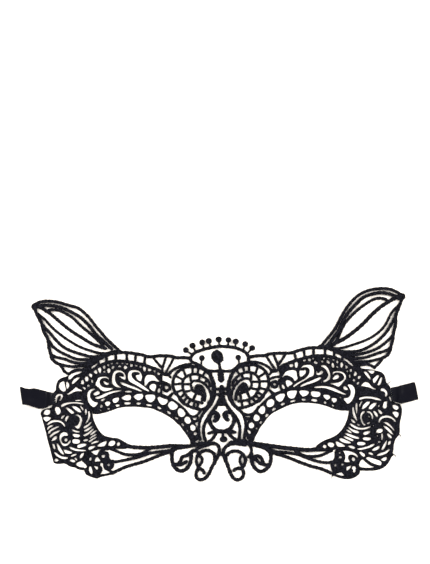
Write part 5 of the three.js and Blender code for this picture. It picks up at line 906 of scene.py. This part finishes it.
def nearest(q, B):
    d = np.empty(len(q))
    for i in range(0, len(q), 2000):
        d[i : i + 2000] = np.sqrt(((q[i : i + 2000, None, :] - B[None, :, :]) ** 2).sum(2).min(1))
    return d


def zone(name, side):
    """Dense embroidery: close stitching over one zone, open at each hole, rounded between the holes."""
    fine = 0.34
    edge = rounded(points(ZONES[name + "_" + side]), 0.0, 0.36)
    lo_, hi_ = edge.min(0), edge.max(0)
    holes = []
    for line in OPENINGS[side].strip().splitlines():
        h = points(line)
        if (h.max(0) > lo_).all() and (h.min(0) < hi_).all():
            rim_length = np.hypot(*(np.roll(h, -1, 0) - h).T).sum()
            broad = abs(area_of(h)) / rim_length
            h = rounded(h, OPEN_GROW - 0.09 * min(max((broad - 0.3) / 0.5, 0), 1), 0.28)
            if inside(edge, h).any():
                holes.append(h)
    grid = []
    y, k = lo_[1], 0
    while y < hi_[1]:
        xs = np.arange(lo_[0] + (fine / 2 if k % 2 else 0), hi_[0], fine)
        grid.append(np.stack([xs, np.full(len(xs), y)], 1))
        y += fine * 0.866
        k += 1
    grid = np.concatenate(grid)
    grid = grid[inside(edge, grid)]
    for h in holes:
        grid = grid[~inside(h, grid)]
    line = np.concatenate([edge] + holes)
    grid = grid[nearest(grid, line) > 0.17]
    verts = [Vector(p) for p in edge]
    edges = [(i, (i + 1) % len(edge)) for i in range(len(edge))]
    for h in holes:
        o = len(verts)
        verts += [Vector(p) for p in h]
        edges += [(o + i, o + (i + 1) % len(h)) for i in range(len(h))]
    verts += [Vector(p) for p in grid]
    V, _, F, _, _, _ = delaunay_2d_cdt(verts, edges, [], 0, 1e-4, False)
    V = np.array([tuple(v) for v in V])
    F = np.array([tuple(f) for f in F])
    c = V[F].mean(1)
    ok = inside(edge, c)
    for h in holes:
        ok &= ~inside(h, c)
    F = F[ok]
    a, b_, c3 = V[F[:, 0]], V[F[:, 1]], V[F[:, 2]]
    cross = (b_[:, 0] - a[:, 0]) * (c3[:, 1] - a[:, 1]) - (b_[:, 1] - a[:, 1]) * (c3[:, 0] - a[:, 0])
    F[cross < 0] = F[cross < 0][:, ::-1]
    used = np.unique(F)
    index = np.full(len(V), -1)
    index[used] = np.arange(len(used))
    V, F = V[used], index[F]
    count = {}
    for f in F:
        for i in range(3):
            e = (int(f[i]), int(f[(i + 1) % 3]))
            count[tuple(sorted(e))] = None if tuple(sorted(e)) in count else e
    rim = [e for e in count.values() if e]
    bound = V[np.unique([i for e in rim for i in e])]
    d = nearest(V, bound)
    n = len(V)
    q = np.clip(d / 0.72, 0, 1)
    top = 0.34 + 0.72 * np.sqrt(1 - (1 - q) ** 2) + 0.22 * np.clip((d - 0.7) / 0.6, 0, 1)
    out_v, faces, uv = [], [], []
    for (x, y), h in zip(V, top):
        h += 0.05 * math.sin(x * 2.1 + y * 1.3) * math.sin(y * 2.7 - x * 0.7)
        out_v.append((x * MM, y * MM, (0.03 + relief(x, y) + h) * MM))
    for x, y in V:
        out_v.append((x * MM, y * MM, (0.03 + relief(x, y)) * MM))
    st = [(x * 0.8 + y * 0.6, 0.25 * y) for x, y in V]
    for f in F.tolist():
        faces.append(tuple(f))
        uv.append([st[i] for i in f])
        faces.append((f[2] + n, f[1] + n, f[0] + n))
        uv.append([st[f[2]], st[f[1]], st[f[0]]])
    for i, j in rim:
        faces.append((j, i, i + n, j + n))
        uv.append([st[j], st[i], (st[i][0], st[i][1] + 0.3), (st[j][0], st[j][1] + 0.3)])
    return out_v, faces, uv


def wing_blend(ob):
    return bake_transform(ob)


made = []
for side in ("right", "left"):
    for g, nodes in REPLACES.items():
        parts = strokes(g + "_" + side)
        if g + "_" + side in ZONES:
            parts.append(zone(g, side))
        for i, (x, y, rx, ry) in enumerate(KNOTS.get(g + "_" + side, [])):
            parts.append(dome(x, y, rx, ry, 0.05 + relief(x, y), 1.45 + 0.2 * hash01(i)))
        ob = build(SHOWN[g] + "_" + side, parts, LACE)
        if g == "ear":
            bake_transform(ob)
        elif g in ("ladder", "scroll", "medal", "rim", "under", "curlout"):
            wing_blend(ob)
        elif g == "curlin":
            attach(ob, "centre")
        else:
            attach(ob, "wing_" + side)
        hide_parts(*[n + "_" + side for n in nodes])
        made.append(ob)

for name, (groups, nodes) in CENTRE_PIECES.items():
    parts = []
    for g in groups:
        parts += strokes(g)
    if name == "nose_heart_cords":
        for i, (x, y, rx, ry) in enumerate(KNOTS["heart"]):
            parts.append(dome(x, y, rx, ry, 0.05 + relief(x, y), 1.4 + 0.2 * hash01(i)))
    if name == "nose_bridge_cords":
        parts += hatch(TRUNK, key=2.0)
    ob = build(name, parts, LACE)
    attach(ob, "centre")
    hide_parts(*nodes)
    made.append(ob)

# ---- crown drop: wound leaf, stem and pendant knot ----
parts = hatch(DROP, key=3.0, z=0.5)
parts.append(sweep([c[:2] for c in CLUB[:3]], [2 * c[2] for c in CLUB[:3]], flat=0.6, key=9.0))
parts.append(sweep([c[:2] for c in CLUB[2:]] + [(CLUB[-1][0], CLUB[-1][1] - 1.2)], [2 * c[2] for c in CLUB[2:]] + [2.4], flat=0.6, key=11.0))
ob = build("crown_drop_leaf", parts, KNOT)
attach(ob, "centre")
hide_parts("crown_drop")

x, y, rx, ry = TIP
ob = build("nose_tip_knot", [dome(x, y, rx, ry, 0.2, 1.9)], KNOT)
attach(ob, "centre")
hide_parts("nose_tip")

for k, (x, y, r, fx, fy) in enumerate(PICOTS):
    name = f"picot_bead_{k + 1}" if k < 9 else ("picot_inner_left" if k == 9 else "picot_inner_right")
    parts = [
        dome(x, y, r * (1.12 + 0.08 * hash01(k)), r * (1.1 + 0.1 * hash01(k + 3)), 0.1 + relief(x, y), 1.7),
        sweep([(x, y), ((x + fx) / 2 + 0.1 * (hash01(k) - 0.5), (y + fy) / 2), (fx, fy)], [1.15, 1.0, 1.1], key=20 + k),
    ]
    ob = build("knot_" + name, parts, KNOT)
    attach(ob, "centre")
    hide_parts(name)


# ---- ribbon ties ----
def ribbon(side):
    s = 1 if side == "right" else -1
    E = np.array(RIBBON[side], float)
    mid = (E[:, :2] + E[:, 2:]) / 2
    d = np.r_[0, np.cumsum(np.hypot(*np.diff(mid, axis=0).T))]
    total = d[-1]
    cols = 9
    rows = []
    length = 0.0
    top = 4.15
    m = 34

    def row(u, z, shift=0.0, narrow=0.0):
        e = [np.interp(u, d, E[:, k]) for k in range(4)]
        a, b_ = np.array(e[:2]), np.array(e[2:])
        c = (a + b_) / 2
        return [(c + (a - c) * (1 - narrow) + shift * 0, c + (b_ - c) * (1 - narrow), z)]

    path = []
    hem = 1.9
    for i in range(m + 1):
        u = total * i / m
        f = min(1.0, max(0.0, (u - hem * 0.5) / 4.6))
        f = f * f * (3 - 2 * f)
        z = 1.25 + (top - 1.25) * f
        z += 0.20 * math.sin(u * 0.55 + (0.5 if s > 0 else 2.0)) * f
        path.append((u, z, 0.0, 0))
    lo_u = 4.9
    runs = 31 if side == "right" else 20
    gap = (top - 0.55 - 0.12) / runs
    z = top - 0.1
    for r in range(runs):
        out_first = r % 2 == 0
        a, b_ = (total - 0.25, lo_u) if out_first else (lo_u, total - 0.25)
        n = 6
        # one straight run of the folded stack
        for i in range(n + 1):
            q = i / n
            u = a + (b_ - a) * q
            path.append((u - 0.12 * hash01(r), top - 0.42 - gap * (r + 0.5 * q), 0.025, r + 1))
    verts, faces, uv = [], [], []
    prev = None
    dist = 0.0
    for (u, z, narrow, run) in path:
        e = [float(np.interp(u, d, E[:, k])) for k in range(4)]
        c = np.array([(e[0] + e[2]) / 2, (e[1] + e[3]) / 2])
        if prev is not None:
            dist += math.dist(prev, (c[0], c[1], z))
        prev = (c[0], c[1], z)
        for k in range(cols):
            q = k / (cols - 1)
            p = np.array([e[0] + (e[2] - e[0]) * q, e[1] + (e[3] - e[1]) * q])
            p = c + (p - c) * (1 - narrow)
            zz = z
            if run == 0:
                zz += 0.16 * math.sin(q * 5.2 + u * 0.35 + s) * min(1, u / 3) - 0.22 * (2 * q - 1) ** 4
                if side == "right":
                    zz += 0.35 * math.exp(-((u - 4.4 + 2.2 * (q - 0.5)) ** 2) / 0.8)
                else:
                    zz += 0.30 * math.exp(-((u - 4.3) ** 2) / 0.25)
            verts.append((p[0] * MM, p[1] * MM, zz * MM))
        uv.append(dist)
    U = []
    for i in range(len(path) - 1):
        for k in range(cols - 1):
            a = i * cols + k
            f = (a, a + 1, a + cols + 1, a + cols)
            w0, w1 = k / (cols - 1), (k + 1) / (cols - 1)
            g = [(uv[i] / 10, w0), (uv[i] / 10, w1), (uv[i + 1] / 10, w1), (uv[i + 1] / 10, w0)]
            if s < 0:
                f, g = f[::-1], g[::-1]
            faces.append(f)
            U.append(g)
    ob = build("satin_ribbon_" + side, [(verts, faces, U)], RIB)
    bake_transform(ob)
    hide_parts("ribbon_tie_" + side, "ribbon_folds_" + side)
    # hem stitches over the lace edge
    parts = []
    for i in range(6):
        q = (i + 0.6) / 6.2
        x = E[0, 0] + (E[0, 2] - E[0, 0]) * q
        y = E[0, 1] + (E[0, 3] - E[0, 1]) * q
        parts.append(sweep([(x - s * 0.9, y + 0.15), (x, y), (x + s * 1.1, y - 0.12)], [0.42, 0.45, 0.42], z_fixed=1.25 + 0.05, key=i))
    st = build("ribbon_stitches_" + side, parts, STITCH)
    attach(st, "wing_" + side)
    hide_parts("hem_stitches_" + side)
    print(side, "ribbon length mm", round(dist))


for side in ("right", "left"):
    ribbon(side)

# ---- surface, light and camera ----
floor = bpy.data.meshes.new("surface")
floor.from_pydata([(-3, -3, 0), (3, -3, 0), (3, 3, 0), (-3, 3, 0)], [], [(0, 1, 2, 3)])
fo = bpy.data.objects.new("surface", floor)
bpy.context.scene.collection.objects.link(fo)
FM, fnt, fb = principled("pale_surface", (0.96, 0.90, 0.82), 0.9)
fb.inputs["Specular IOR Level"].default_value = 0.1
floor.materials.append(FM)

world = bpy.data.worlds.new("soft")
bpy.context.scene.world = world
world.use_nodes = True
world.node_tree.nodes["Background"].inputs[0].default_value = (1, 1, 1, 1)
world.node_tree.nodes["Background"].inputs[1].default_value = 0.85


def area(name, loc, size, power):
    l = bpy.data.lights.new(name, "AREA")
    l.shape = "DISK"
    l.size = size
    l.energy = power
    o = bpy.data.objects.new(name, l)
    o.location = loc
    o.rotation_mode = "QUATERNION"
    o.rotation_quaternion = (-Vector(loc)).to_track_quat("-Z", "Y")
    bpy.context.scene.collection.objects.link(o)


area("softbox_left", (-1.1, 0.7, 1.1), 0.8, 30)
area("softbox_right", (1.1, 0.5, 1.1), 0.8, 24)
area("softbox_low", (0.0, -1.3, 0.9), 0.7, 14)

cam = bpy.data.cameras.new("camera")
cam.lens = 100
cam.sensor_width = 36
co = bpy.data.objects.new("camera", cam)
co.location = (-0.00234, 0.05839, 0.8935)
co.rotation_euler = (0, 0, 0)
cam.clip_start = 0.01
cam.clip_end = 10
bpy.context.scene.collection.objects.link(co)
bpy.context.scene.camera = co

sc = bpy.context.scene
sc.view_settings.view_transform = "Standard"
sc.view_settings.look = "None"
sc.view_settings.exposure = 0.0
sc.view_settings.gamma = 1.0
